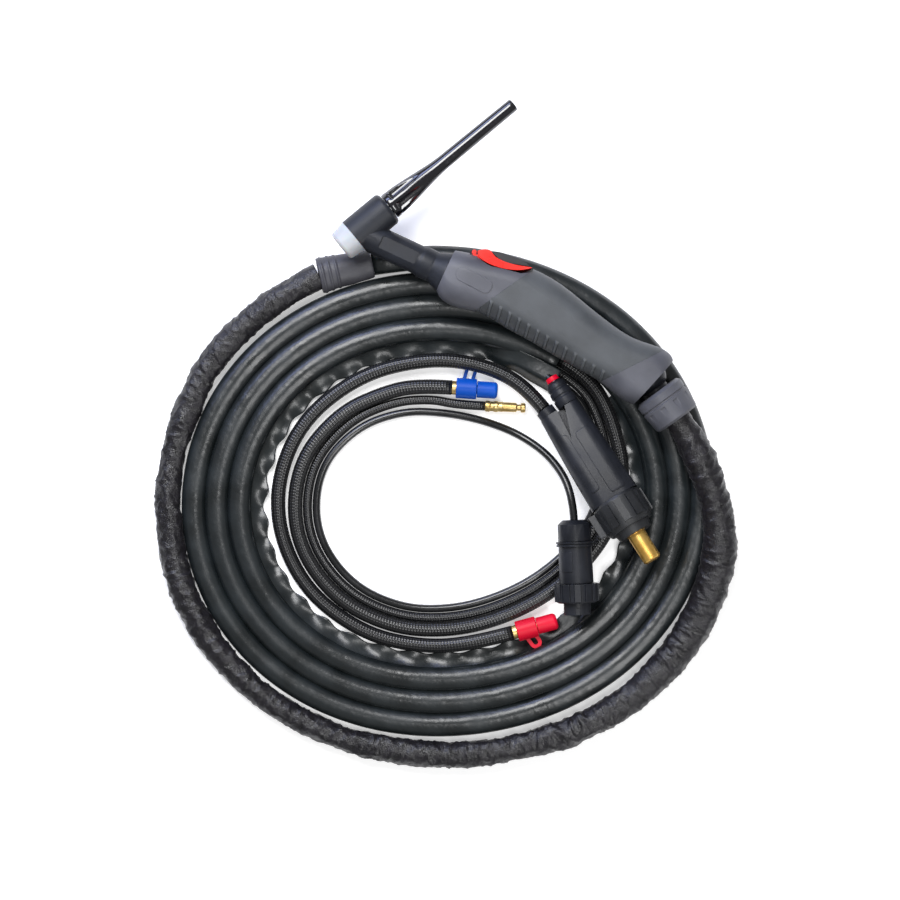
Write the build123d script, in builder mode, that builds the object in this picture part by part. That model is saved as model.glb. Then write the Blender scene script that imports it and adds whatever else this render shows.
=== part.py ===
from build123d import *
import math
import os

# TIG welding torch with a side trigger, lying on its coiled four metre lead.  All sizes in mm.
# Frame: the origin is the centre of the mouth of the nose insulator, +X runs along the neck
# towards the lead, +Z points away from the surface that the lead lies on.

# Running and seating clearances
RUN = 0.1
GAP = 0.3

# Head, neck and back cap
HEAD_ANGLE = 64.5
NECK_RISE = 14.7
INSULATOR_LENGTH = 11.8
INSULATOR_FRONT_R = 10.8
INSULATOR_REAR_R = 12.4
NOSE_BORE_R = 6.2
HEAD_R = 12.5
HEAD_END = 43.5
CORE_R = 8.4
COLLET_BORE_R = 4.75
COLLET_BORE_DEPTH = 15.0
CAP_THREAD_R = 6.0
CAP_THREAD_DEPTH = 10.0
CAP_BASE_R = 9.8
CAP_TIP_R = 4.7
CAP_SWELL = 4.6
CAP_TAPER = 48.0
CAP_LENGTH = 112.4
CAP_FLUTES = 6
ELECTRODE_BORE_R = 1.8
SEAL_LENGTH = 2.6
NECK_R = 10.3
NECK_BORE_R = 7.2
NECK_FLARE_R = 14.2
NECK_TUBE_R = 2.1
NECK_TUBE_COUNT = 3

# Handle: (x, y, heading, width, thickness) of each cross section from the neck to the knuckle
HANDLE_STATIONS = [
    (73.4, 16.0, 0.0, 30.4, 29.6),
    (79.0, 14.6, 2.0, 36.2, 32.0),
    (103.0, 18.4, 4.0, 39.5, 33.4),
    (130.0, 20.0, -1.0, 45.0, 34.0),
    (150.0, 18.4, -8.0, 44.5, 34.0),
    (168.0, 15.2, -11.0, 42.0, 34.0),
    (190.0, 11.8, -10.0, 38.6, 34.0),
    (211.0, 9.6, -13.0, 39.0, 34.0),
]
GRIP_THICKNESS = 2.2
WALL = 3.0
GRIP_FRONT_LINE = ((97.9, -11.5), (134.8, 53.4))
GRIP_REAR_LINE = ((193.9, -21.1), (242.1, 39.6))
SPIGOT_R = 9.8
SPIGOT_LENGTH = 24.0
SCREW_SPOTS = [(79.0, 27.4), (94.0, 1.6), (218.0, -6.4)]
SCREW_R = 1.5
SCREW_HEAD_R = 2.9
SCREW_HEAD_DEPTH = 3.0

# Knuckle between handle and lead
KNUCKLE = Vector(231.5, 8.1, 0)
KNUCKLE_HEADING = -17.2
LEAD_HEADING = -29.0
BALL_R = 13.5
LINER_WALL = 1.65
KNUCKLE_CLEARANCE = 0.15
HANDLE_END = 5.8
RIM_WIDTH = 44.5
END_WIDTH = 41.0
STEM_R = 8.8
STEM_BORE_R = 6.0
STEM_END = 30.0
NUT_START = 12.4
NUT_LENGTH = 24.0
NUT_R = 18.0
NUT_NOTCHES = 10

# Trigger and switch
TRIGGER_HALF_WIDTH = 14.0
TRIGGER_STALK = 8.0
TRIGGER_PIVOT = (91.0, 29.6)
TRIGGER_PIN_R = 1.0
TRIGGER_PIN_LENGTH = 26.0
TRIGGER_UNDERSIDE = [(88.0, 36.9), (90.4, 34.0), (97.5, 32.2), (107.3, 33.0), (120.6, 37.6), (127.0, 42.3)]
TRIGGER_DISH = [(127.0, 42.3), (115.9, 39.3), (104.9, 38.0), (99.0, 39.2), (95.9, 40.8), (91.5, 39.8),
                (88.0, 36.9)]
TRIGGER_BUMP = (86.0, 35.6)
TRIGGER_BUMP_R = 1.6
TRIGGER_ROOM = [(128.3, 60.0), (128.3, 39.6), (120.9, 35.0), (114.0, 32.4), (107.6, 31.3), (97.5, 31.3),
                (89.4, 33.2), (87.2, 36.2), (87.2, 60.0)]
PAD_CROWN = [(96.6, 40.4), (99.4, 41.9), (110.0, 43.7), (119.0, 44.2), (125.0, 42.4)]
SWITCH_LENGTH = 20.0
SWITCH_HEIGHT = 6.8
SWITCH_WIDTH = 6.4
SWITCH_SPOT = (110.0, 26.9)
PLUNGER_R = 1.4
PLUNGER_SPOT = 112.0
PLUNGER_TOP = 33.5
PLUNGER_LENGTH = 6.0

# Lead: what it lies on, and the centre that its turns go round
FLOOR = -33.0
RING_X = 145.8
RING_Y = -129.1
FLAT = 0.5
REST = 0.2

# Leather cover, the sleeve that joins it to the rubber sleeve, and the rubber sleeve's turns
LEATHER_R = 9.0
JOINT_START = Vector(-6.6, -23.7, FLOOR + 10.0)
JOINT_START_HEADING = 52.0
JOINT_WIDE = 13.0
JOINT_NARROW = 10.0
JOINT_TALL = 9.8
JOINT_SHORT = 8.0
SLEEVE_R = 7.3
SLEEVE_START = 226.5
SLEEVE_SWEEP = 1135.5
SLEEVE_RADIUS = 178.2
SLEEVE_PITCH = 16.0
SLEEVE_OVAL = 10.2
SLEEVE_OVAL_TURN = -28.9
SLEEVE_SHIFT = 7.7
SLEEVE_SHIFT_TURN = 178.2
SLEEVE_ENTRY = 3.5
FLAP_SWEEP = 304.0
FLAP_WIDTH = 10.8
FLAP_THICKNESS = 3.6
MOUTH_SWEEP = 22.0
MOUTH_WIDTH = 10.2
MOUTH_HEIGHT = 14.4

# Tails of the lead
CABLE_R = 4.4
WATER_R = 4.9
GAS_R = 3.0
SWITCH_R = 2.6

# Power plug: its axis starts at the root of the brass pin
POWER_ROOT = Vector(270.7, -94.0, 3.2)
POWER_HEADING = -33.4
POWER_RISE = 10.3
POWER_PIN_R = 6.5
POWER_PIN_LENGTH = 21.8
POWER_SHANK_R = 7.2
POWER_COLLAR_R = 12.2
POWER_COLLAR_LENGTH = 5.6
POWER_RING_R = 19.4
POWER_RING_LENGTH = 22.6
POWER_RING_PADS = 12
POWER_LUG = (17.0, 6.0, 9.0)
POWER_BODY_LENGTH = 74.0
POWER_BODY_WIDTH = 36.0
POWER_BODY_HEIGHT = 27.0
POWER_REAR_WIDTH = 26.0
POWER_REAR_HEIGHT = 17.0
POWER_BRANCH = 7.6
POWER_NUT_R = 8.0
POWER_NUT_LENGTH = 19.0
PORT_R = 6.6
PORT_LENGTH = 9.0

# Control plug: its axis starts at the back of the gland nut
CONTROL_BACK = Vector(228.1, -103.7, -6.9)
CONTROL_HEADING = -62.9
CONTROL_GLAND_R = 11.7
CONTROL_GLAND_LENGTH = 14.7
CONTROL_FLANGE_R = 13.3
CONTROL_FLANGE_LENGTH = 3.4
CONTROL_BODY_R = 11.6
CONTROL_BODY_LENGTH = 26.0
CONTROL_RING_R = 15.6
CONTROL_RING_LENGTH = 13.4
CONTROL_NOSE_R = 9.5
CONTROL_NOSE_LENGTH = 8.4
CONTROL_BORE_R = 8.0
CONTROL_PIN_R = 0.8
CONTROL_PIN_COUNT = 5

# Capped water ends and the gas nipple
WATER_END = Vector(111.4, -55.5, FLOOR + 7.6)
WATER_HEADING = 21.1
RETURN_END = Vector(223.2, -194.0, FLOOR + 10.7)
RETURN_HEADING = 40.3
FERRULE_R = 4.9
FERRULE_LENGTH = 3.0
NIPPLE_R = 3.2
NIPPLE_LENGTH = 25.0
COLLAR_R = 7.2
COLLAR_LENGTH = 14.6
DUST_CAP_R = 5.9
DUST_CAP_LENGTH = 14.6
TETHER_WIDTH = 8.6
TETHER_STRAND = 2.6
GAS_END = Vector(138.0, -57.4, FLOOR + 4.9)
GAS_HEADING = 22.2
GAS_FERRULE_R = 4.0
GAS_FERRULE_LENGTH = 12.6
GAS_NIPPLE_R = 3.4
GAS_NIPPLE_LENGTH = 16.2

os.makedirs("parts", exist_ok=True)


# ------------------------------------------------------------------ shared helpers

def heading_vector(heading, rise=0.0):
    """Unit vector at a heading, anticlockwise from +X, that climbs by rise; both in degrees."""
    level = math.cos(math.radians(rise))
    east = level * math.cos(math.radians(heading))
    north = level * math.sin(math.radians(heading))
    return Vector(east, north, math.sin(math.radians(rise)))


def place_on(origin, axis):
    """Plane whose Z is the axis and whose X is level and to the left of it."""
    return Plane(origin=origin, x_dir=Vector(-axis.Y, axis.X, 0).normalized(), z_dir=axis)


def spin(place, profile, mode=Mode.ADD):
    """Spin a half section of (along, radius) points about the Z axis of a place."""
    half = Plane(origin=place.origin, x_dir=place.z_dir, z_dir=place.z_dir.cross(place.x_dir))
    with BuildSketch(half) as section:
        with BuildLine():
            Polyline(*profile, close=True)
        make_face()
    return revolve(section.sketch, axis=Axis(place.origin, place.z_dir), mode=mode)


def smooth_step(share):
    """Ease from 0 to 1 with a level start and end."""
    held = min(max(share, 0.0), 1.0)
    return held * held * (3 - 2 * held)


def rims(part, radius):
    """Circular edges of one radius."""
    return part.edges().filter_by(GeomType.CIRCLE).filter_by(lambda rim: abs(rim.radius - radius) < 0.01)


def save(part, name):
    """Label a finished piece and write it."""
    part.label = name
    export_step(part, f"parts/{name}.step")


def ring_point(bearing, radius, height):
    """Point at a bearing, clockwise from +X, round the centre of the coil, above the floor."""
    east = radius * math.cos(math.radians(bearing))
    south = radius * math.sin(math.radians(bearing))
    return Vector(RING_X + east, RING_Y - south, FLOOR + height)


def corner_radii(points):
    """Largest arc that the two runs beside each corner allow, and the turn it makes."""
    radii = []
    for before, corner, after in zip(points, points[1:], points[2:]):
        turn = (corner - before).get_angle(after - corner)
        shorter = min((corner - before).length, (after - corner).length)
        radii.append(0.45 * shorter / math.tan(math.radians(turn / 2)))
    return radii


def lay_tube(name, points, radius):
    """Sweep a round tube along straight runs joined by tangent arcs, and print its figures."""
    radii = corner_radii(points)
    with BuildLine() as route:
        FilletPolyline(*points, radius=radii)
    with BuildSketch(Plane(origin=points[0], z_dir=points[1] - points[0])) as section:
        Circle(radius)
    tube = sweep(section.sketch, path=route.wires()[0])
    length = route.wires()[0].length
    share = tube.volume / (math.pi * radius ** 2 * length)
    print(f"{name}: length {length:.0f}, least bend {min(radii):.0f}, volume share {share:.4f}")
    return tube


# ------------------------------------------------------------------ head, neck and back cap

nose = place_on(Vector(0, 0, 0), heading_vector(HEAD_ANGLE))
neck_foot = Vector(NECK_RISE / math.tan(math.radians(HEAD_ANGLE)), NECK_RISE, 0)
neck = place_on(neck_foot, Vector(1, 0, 0))
handle_front = HANDLE_STATIONS[0][0] - neck_foot.X
core_end = HEAD_END - GAP - SEAL_LENGTH - GAP
boss_end = 17.0
insulator_room = [(0, 0), (0, 2 * HEAD_R), (INSULATOR_LENGTH, 2 * HEAD_R), (INSULATOR_LENGTH, 0)]

with BuildPart() as nose_insulator:
    spin(nose, [
        (0, NOSE_BORE_R),
        (0, INSULATOR_FRONT_R),
        (INSULATOR_LENGTH, INSULATOR_REAR_R),
        (INSULATOR_LENGTH, NOSE_BORE_R),
    ])
    fillet(rims(nose_insulator, INSULATOR_FRONT_R), 2.4)
save(nose_insulator.part, "nose_insulator")

with BuildPart() as torch_body:
    spin(nose, [
        (INSULATOR_LENGTH, 0),
        (INSULATOR_LENGTH, CORE_R),
        (core_end, CORE_R),
        (core_end, 0),
    ])
    spin(neck, [(0, 0), (0, NECK_BORE_R), (boss_end, NECK_BORE_R), (boss_end, 0)])
    spin(nose, [
        (INSULATOR_LENGTH, 0),
        (INSULATOR_LENGTH, COLLET_BORE_R),
        (INSULATOR_LENGTH + COLLET_BORE_DEPTH, COLLET_BORE_R),
        (INSULATOR_LENGTH + COLLET_BORE_DEPTH, COLLET_BORE_R - 1.2),
        (core_end - CAP_THREAD_DEPTH, COLLET_BORE_R - 1.2),
        (core_end - CAP_THREAD_DEPTH, CAP_THREAD_R),
        (core_end, CAP_THREAD_R),
        (core_end, 0),
    ], Mode.SUBTRACT)
    spin(nose, insulator_room, Mode.SUBTRACT)
save(torch_body.part, "torch_body")

with BuildPart() as neck_tubes:
    with BuildSketch(neck.offset(boss_end)):
        with PolarLocations(NECK_BORE_R - NECK_TUBE_R - 0.8, NECK_TUBE_COUNT):
            Circle(NECK_TUBE_R)
            Circle(NECK_TUBE_R - 0.6, mode=Mode.SUBTRACT)
    extrude(amount=handle_front + SPIGOT_LENGTH + 12 - boss_end)
save(neck_tubes.part, "neck_tubes")

with BuildPart() as head_cover:
    spin(nose, [(INSULATOR_LENGTH, 0), (INSULATOR_LENGTH, HEAD_R), (HEAD_END, HEAD_R), (HEAD_END, 0)])
    fillet(rims(head_cover, HEAD_R).sort_by(Axis(nose.origin, nose.z_dir))[-1], 3.2)
    spin(neck, [
        (0, 0),
        (0, NECK_R),
        (handle_front - 20, NECK_R),
        (handle_front - 17, NECK_R + 0.9),
        (handle_front - 11, NECK_R + 0.9),
        (handle_front - 9, NECK_R + 0.5),
        (handle_front - 1, NECK_FLARE_R),
        (handle_front, NECK_FLARE_R),
        (handle_front, SPIGOT_R),
        (handle_front + SPIGOT_LENGTH, SPIGOT_R),
        (handle_front + SPIGOT_LENGTH, 0),
    ])
    with BuildSketch(Plane.XY.offset(NECK_R - 1.5)):
        with Locations((neck_foot.X + 31, NECK_RISE)):
            RectangleRounded(28, 9, 1.5)
    extrude(amount=4, mode=Mode.SUBTRACT)
    spin(nose, [(INSULATOR_LENGTH, 0), (INSULATOR_LENGTH, CORE_R), (HEAD_END, CORE_R), (HEAD_END, 0)],
         Mode.SUBTRACT)
    spin(neck, [(0, 0), (0, NECK_BORE_R), (handle_front + SPIGOT_LENGTH, NECK_BORE_R),
                (handle_front + SPIGOT_LENGTH, 0)], Mode.SUBTRACT)
    spin(nose, insulator_room, Mode.SUBTRACT)
save(head_cover.part, "head_cover")

with BuildPart() as cap_seal:
    spin(nose, [
        (core_end + GAP, CAP_THREAD_R + 0.2),
        (core_end + GAP, CORE_R - GAP),
        (core_end + GAP + SEAL_LENGTH, CORE_R - GAP),
        (core_end + GAP + SEAL_LENGTH, CAP_THREAD_R + 0.2),
    ])
    fillet(rims(cap_seal, CORE_R - GAP), 0.6)
save(cap_seal.part, "cap_seal")

cap_start = HEAD_END + GAP
cap_stem = core_end - CAP_THREAD_DEPTH + 1.0
cap_waist = [(3.0 + run, CAP_BASE_R - CAP_SWELL * smooth_step(run / CAP_TAPER)) for run in range(0, 52, 4)]
with BuildPart() as back_cap:
    spin(nose, [
        (cap_stem, ELECTRODE_BORE_R),
        (cap_stem, CAP_THREAD_R - RUN),
        (cap_start, CAP_THREAD_R - RUN),
        (cap_start, CAP_BASE_R - 0.4),
        (cap_start + 1.5, CAP_BASE_R),
        *[(cap_start + along, radius) for along, radius in cap_waist],
        (cap_start + CAP_LENGTH - 1, CAP_TIP_R),
        (cap_start + CAP_LENGTH, CAP_TIP_R - 0.9),
        (cap_start + CAP_LENGTH, 0),
        (cap_start + CAP_LENGTH - 6, 0),
        (cap_start + CAP_LENGTH - 6, ELECTRODE_BORE_R),
    ])
    with BuildSketch(nose.offset(cap_start + 4)):
        with PolarLocations(CAP_BASE_R + 1.0, CAP_FLUTES):
            Circle(3.6)
    extrude(amount=44, mode=Mode.SUBTRACT)
save(back_cap.part, "back_cap")


# ------------------------------------------------------------------ knuckle and ring nut

handle_axis = heading_vector(KNUCKLE_HEADING)
lead_axis = heading_vector(LEAD_HEADING)
knuckle_in = place_on(KNUCKLE, handle_axis)
knuckle_out = place_on(KNUCKLE, lead_axis)
liner_inner = BALL_R + KNUCKLE_CLEARANCE
liner_outer = liner_inner + LINER_WALL
cup_r = liner_outer + KNUCKLE_CLEARANCE

with BuildPart() as knuckle_ball:
    with Locations(KNUCKLE):
        Sphere(BALL_R)
    spin(knuckle_out, [(BALL_R / 2, 0), (BALL_R / 2, STEM_R), (STEM_END, STEM_R), (STEM_END, 0)])
    spin(knuckle_out, [(-BALL_R, 0), (-BALL_R, STEM_BORE_R), (STEM_END, STEM_BORE_R), (STEM_END, 0)],
         Mode.SUBTRACT)
save(knuckle_ball.part, "knuckle_ball")

with BuildPart() as knuckle_liner:
    with Locations(KNUCKLE):
        Sphere(liner_outer)
        Sphere(liner_inner, mode=Mode.SUBTRACT)
    spin(knuckle_in, [(-8, 0), (-8, 2 * BALL_R), (4.5, 2 * BALL_R), (4.5, 0)], Mode.INTERSECT)
save(knuckle_liner.part, "knuckle_liner")

with BuildPart() as ring_nut:
    spin(knuckle_out, [
        (NUT_START, STEM_R + RUN),
        (NUT_START, NUT_R - 2.2),
        (NUT_START + 2.2, NUT_R),
        (NUT_START + 7, NUT_R),
        (NUT_START + 7.6, NUT_R - 0.8),
        (NUT_START + 8.6, NUT_R - 0.8),
        (NUT_START + 9.2, NUT_R),
        (NUT_START + NUT_LENGTH - 1.6, NUT_R - 1.2),
        (NUT_START + NUT_LENGTH, NUT_R - 2.8),
        (NUT_START + NUT_LENGTH, LEATHER_R + 0.4),
        (STEM_END - 4, LEATHER_R + 0.4),
        (STEM_END - 4, STEM_R + RUN),
    ])
    with BuildSketch(knuckle_out.offset(NUT_START + 11)):
        with PolarLocations(NUT_R + 0.9, NUT_NOTCHES):
            SlotOverall(5.6, 3.4, rotation=90)
    extrude(amount=NUT_LENGTH - 13, mode=Mode.SUBTRACT)
save(ring_nut.part, "ring_nut")


# ------------------------------------------------------------------ handle

rear_stations = [
    (KNUCKLE + handle_axis * 1.5, KNUCKLE_HEADING, RIM_WIDTH),
    (KNUCKLE + handle_axis * HANDLE_END, KNUCKLE_HEADING, END_WIDTH),
]
stations = list(HANDLE_STATIONS)
for spot, tilt, wide in rear_stations:
    stations.append((spot.X, spot.Y, tilt, wide, HANDLE_STATIONS[-1][4]))


def handle_loft(chosen, inset):
    """Skin the chosen cross sections, each drawn in by the inset."""
    sections = []
    for x, y, tilt, wide, thick in chosen:
        forward = heading_vector(tilt)
        across = Vector(-forward.Y, forward.X, 0)
        with BuildSketch(Plane(origin=(x, y, 0), x_dir=across, z_dir=forward)) as section:
            RectangleRounded(wide - 2 * inset, thick - 2 * inset, 0.44 * (thick - 2 * inset))
        sections.append(section.sketch)
    return loft(sections, mode=Mode.PRIVATE)


handle_skin = handle_loft(stations, 0)
grip_core = handle_loft(stations, GRIP_THICKNESS)
handle_room = handle_loft(stations[2:8], GRIP_THICKNESS + WALL)

with BuildPart() as trigger_room:
    with BuildSketch():
        Polygon(*TRIGGER_ROOM, align=None)
    extrude(amount=TRIGGER_HALF_WIDTH + GAP, both=True)
    with BuildSketch():
        Polygon((96.4, 34.0), (96.4, 26.8), (86.6, 26.8), (83.6, 32.4), (83.6, 60), (90, 60), align=None)
    extrude(amount=TRIGGER_STALK + GAP, both=True)

with BuildPart() as grip:
    add(handle_skin)
    with BuildSketch():
        Polygon(*GRIP_FRONT_LINE, GRIP_REAR_LINE[1], GRIP_REAR_LINE[0], align=None)
    extrude(amount=30, both=True, mode=Mode.INTERSECT)
    add(grip_core, mode=Mode.SUBTRACT)
    add(trigger_room.part, mode=Mode.SUBTRACT)
save(grip.part, "grip")

with BuildPart() as trigger:
    with BuildSketch():
        with BuildLine():
            Spline(*TRIGGER_UNDERSIDE)
            Spline(*TRIGGER_DISH)
        make_face()
    extrude(amount=TRIGGER_HALF_WIDTH, both=True)
    with BuildSketch():
        Polygon((88.9, 37.0), (95.0, 37.0), (93.0, 29.0), (89.0, 29.0), align=None)
        Polygon((84.9, 34.6), (91.0, 34.6), (91.0, 32.6), (86.8, 32.6), align=None)
        with Locations(TRIGGER_BUMP):
            Circle(TRIGGER_BUMP_R)
        with Locations(TRIGGER_PIVOT):
            Circle(TRIGGER_PIN_R + 1.4)
            Circle(TRIGGER_PIN_R + RUN, mode=Mode.SUBTRACT)
    extrude(amount=TRIGGER_STALK, both=True)
save(trigger.part, "trigger")

with BuildPart() as trigger_pad:
    with BuildSketch():
        with BuildLine():
            Spline(*PAD_CROWN)
            Polyline(PAD_CROWN[-1], (107.0, 37.0), PAD_CROWN[0])
        make_face()
    extrude(amount=TRIGGER_HALF_WIDTH - 2.4, both=True)
    add(trigger.part, mode=Mode.SUBTRACT)
save(trigger_pad.part, "trigger_pad")

with BuildPart() as trigger_pin:
    with Locations((*TRIGGER_PIVOT, 0)):
        Cylinder(TRIGGER_PIN_R, TRIGGER_PIN_LENGTH)
save(trigger_pin.part, "trigger_pin")

with BuildPart() as handle_shell:
    add(handle_skin)
    add(grip.part, mode=Mode.SUBTRACT)
    add(handle_room, mode=Mode.SUBTRACT)
    with Locations(KNUCKLE):
        Sphere(cup_r, mode=Mode.SUBTRACT)
    spin(knuckle_in, [(-24, 0), (-24, NECK_BORE_R), (0, NECK_BORE_R), (0, 0)], Mode.SUBTRACT)
    spin(neck, [
        (handle_front - 2, 0),
        (handle_front - 2, SPIGOT_R + RUN),
        (handle_front + SPIGOT_LENGTH, SPIGOT_R + RUN),
        (handle_front + SPIGOT_LENGTH, NECK_BORE_R),
        (handle_front + SPIGOT_LENGTH + 14, NECK_BORE_R),
        (handle_front + SPIGOT_LENGTH + 14, 0),
    ], Mode.SUBTRACT)
    for side in (-1, 1):
        with Locations((SWITCH_SPOT[0], SWITCH_SPOT[1], side * (SWITCH_WIDTH / 2 + 4.9))):
            Box(SWITCH_LENGTH + 4, SWITCH_HEIGHT + 1, 9.8)
    with Locations((*SWITCH_SPOT, 0)):
        Box(SWITCH_LENGTH, SWITCH_HEIGHT, SWITCH_WIDTH, mode=Mode.SUBTRACT)
    add(trigger_room.part, mode=Mode.SUBTRACT)
    with Locations((*TRIGGER_PIVOT, 0)):
        Cylinder(TRIGGER_PIN_R, TRIGGER_PIN_LENGTH, mode=Mode.SUBTRACT)
    with Locations(*[(x, y, -20) for x, y in SCREW_SPOTS]):
        Cylinder(SCREW_R + RUN, 28, align=(Align.CENTER, Align.CENTER, Align.MIN), mode=Mode.SUBTRACT)
        Cylinder(SCREW_HEAD_R + RUN, 10, align=(Align.CENTER, Align.CENTER, Align.MIN), mode=Mode.SUBTRACT)

with BuildPart() as handle_half_upper:
    add(handle_shell.part)
    split(bisect_by=Plane.XY, keep=Keep.TOP)
save(handle_half_upper.part, "handle_half_upper")

with BuildPart() as handle_half_lower:
    add(handle_shell.part)
    split(bisect_by=Plane.XY, keep=Keep.BOTTOM)
save(handle_half_lower.part, "handle_half_lower")

with BuildPart() as handle_screws:
    with Locations(*[(x, y, -10) for x, y in SCREW_SPOTS]):
        Cylinder(SCREW_R, 17, align=(Align.CENTER, Align.CENTER, Align.MIN))
        Cylinder(SCREW_HEAD_R, SCREW_HEAD_DEPTH, align=(Align.CENTER, Align.CENTER, Align.MAX))
save(handle_screws.part, "handle_screws")

with BuildPart() as microswitch:
    with Locations((*SWITCH_SPOT, 0)):
        Box(SWITCH_LENGTH, SWITCH_HEIGHT, SWITCH_WIDTH)
    with Locations((PLUNGER_SPOT, SWITCH_SPOT[1] + SWITCH_HEIGHT / 2, 0)):
        Cylinder(PLUNGER_R + RUN, 8, rotation=(90, 0, 0), mode=Mode.SUBTRACT)
save(microswitch.part, "microswitch")

with BuildPart() as switch_plunger:
    with Locations((PLUNGER_SPOT, PLUNGER_TOP, 0)):
        Cylinder(
            PLUNGER_R,
            PLUNGER_LENGTH,
            rotation=(-90, 0, 0),
            align=(Align.CENTER, Align.CENTER, Align.MAX),
        )
save(switch_plunger.part, "switch_plunger")


# ------------------------------------------------------------------ coiled lead

def sleeve_point(turned, inset, height):
    """Centre of the rubber sleeve, turned degrees clockwise from its start."""
    bearing = SLEEVE_START + turned
    oval = SLEEVE_OVAL * math.cos(math.radians(2 * (bearing - SLEEVE_OVAL_TURN)))
    shift = SLEEVE_SHIFT * math.cos(math.radians(bearing - SLEEVE_SHIFT_TURN))
    entry = SLEEVE_ENTRY * max(0.0, 1 - turned / 90) ** 2
    radius = SLEEVE_RADIUS - SLEEVE_PITCH * turned / 360 + oval + shift + entry - inset
    return ring_point(bearing, radius, height)


def sleeve_heading(turned, inset):
    """Direction of the sleeve there."""
    return (sleeve_point(turned + 0.2, inset, 0) - sleeve_point(turned - 0.2, inset, 0)).normalized()


def sleeve_arcs(first, last, inset, height):
    """Follow the sleeve with a pair of tangent arcs to each quarter turn."""
    quarters = [90 * count for count in range(math.ceil(last / 90)) if 90 * count > first]
    for here, ahead in zip([first, *quarters], [*quarters, last]):
        begin = sleeve_point(here, inset, height)
        finish = sleeve_point(ahead, inset, height)
        leave = sleeve_heading(here, inset)
        arrive = sleeve_heading(ahead, inset)
        chord = finish - begin
        spread = 2 * (1 - leave.dot(arrive))
        lean = chord.dot(leave + arrive)
        reach = (math.sqrt(lean ** 2 + spread * chord.dot(chord)) - lean) / spread
        out = begin + leave * reach
        back = finish - arrive * reach
        middle = (out + back) * 0.5
        TangentArc(begin, middle, tangent=leave)
        TangentArc(middle, finish, tangent=(back - out).normalized())


def end_point(inset, height):
    """Point of the plane that the sleeve ends in, inset towards the centre of the coil."""
    return sleeve_point(SLEEVE_SWEEP, 0, height) + Vector(end_heading.Y, -end_heading.X, 0) * inset


end_heading = sleeve_heading(SLEEVE_SWEEP, 0)


def least_gap(path, radius, samples=900):
    """Least gap between stretches of one tube that lie more than half a turn apart."""
    spots = [path.position_at(step / samples) for step in range(samples + 1)]
    apart = int(samples * 180 / SLEEVE_SWEEP)
    return min((a - b).length for i, a in enumerate(spots) for b in spots[i + apart:]) - 2 * radius


with BuildPart() as rubber_sleeve:
    with BuildLine() as turns:
        sleeve_arcs(0, SLEEVE_SWEEP, 0, SLEEVE_R - FLAT)
    with BuildSketch(Plane(origin=sleeve_point(0, 0, SLEEVE_R - FLAT), z_dir=sleeve_heading(0, 0))):
        Circle(SLEEVE_R)
    sweep(path=turns.wires()[0])
    with BuildSketch(Plane.XY.offset(FLOOR)):
        with Locations((RING_X, RING_Y)):
            Circle(2 * SLEEVE_RADIUS)
    extrude(amount=-2 * SLEEVE_R, mode=Mode.SUBTRACT)
save(rubber_sleeve.part, "rubber_sleeve")
coil = turns.wires()[0]
print(f"rubber_sleeve: length {coil.length:.0f}, least gap to itself {least_gap(coil, SLEEVE_R):.2f}")
sleeve_share = rubber_sleeve.part.volume / (math.pi * SLEEVE_R ** 2 * coil.length)
print(f"rubber_sleeve: volume share {sleeve_share:.4f}")

flap_inset = SLEEVE_R + GAP + FLAP_WIDTH / 2
flap_start = SLEEVE_SWEEP - FLAP_SWEEP
mouth_inset = SLEEVE_R + REST + MOUTH_WIDTH / 2
with BuildPart() as sleeve_flap:
    with BuildLine() as seam:
        sleeve_arcs(flap_start, SLEEVE_SWEEP, flap_inset, REST + FLAP_THICKNESS / 2)
    start = sleeve_point(flap_start, flap_inset, REST + FLAP_THICKNESS / 2)
    with BuildSketch(Plane(origin=start, x_dir=(0, 0, 1), z_dir=sleeve_heading(flap_start, flap_inset))):
        RectangleRounded(FLAP_THICKNESS, FLAP_WIDTH, 1.2)
    sweep(path=seam.wires()[0])
    mouth = []
    for back, wide, tall in ((MOUTH_SWEEP, 0.6, 0.3), (MOUTH_SWEEP / 2, 0.94, 0.8), (0, 1.0, 1.0)):
        turned = SLEEVE_SWEEP - back
        centre = sleeve_point(turned, mouth_inset, REST + tall * MOUTH_HEIGHT / 2)
        if not back:
            centre = end_point(mouth_inset, REST + MOUTH_HEIGHT / 2)
        with BuildSketch(Plane(origin=centre, x_dir=(0, 0, 1), z_dir=sleeve_heading(turned, 0))) as section:
            Ellipse(tall * MOUTH_HEIGHT / 2, wide * MOUTH_WIDTH / 2)
        mouth.append(section.sketch)
    loft(mouth)
save(sleeve_flap.part, "sleeve_flap")

joint_end = sleeve_point(0, 0, JOINT_SHORT + REST)
joint_axis = (joint_end - JOINT_START).normalized()
with BuildPart() as joint_sleeve:
    with BuildSketch(Plane(origin=JOINT_START, x_dir=(0, 0, 1), z_dir=heading_vector(JOINT_START_HEADING))):
        Ellipse(JOINT_TALL, JOINT_WIDE)
    with BuildSketch(Plane(origin=joint_end, x_dir=(0, 0, 1), z_dir=sleeve_heading(0, 0))):
        Ellipse(JOINT_SHORT, JOINT_NARROW)
    loft()
save(joint_sleeve.part, "joint_sleeve")

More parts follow.
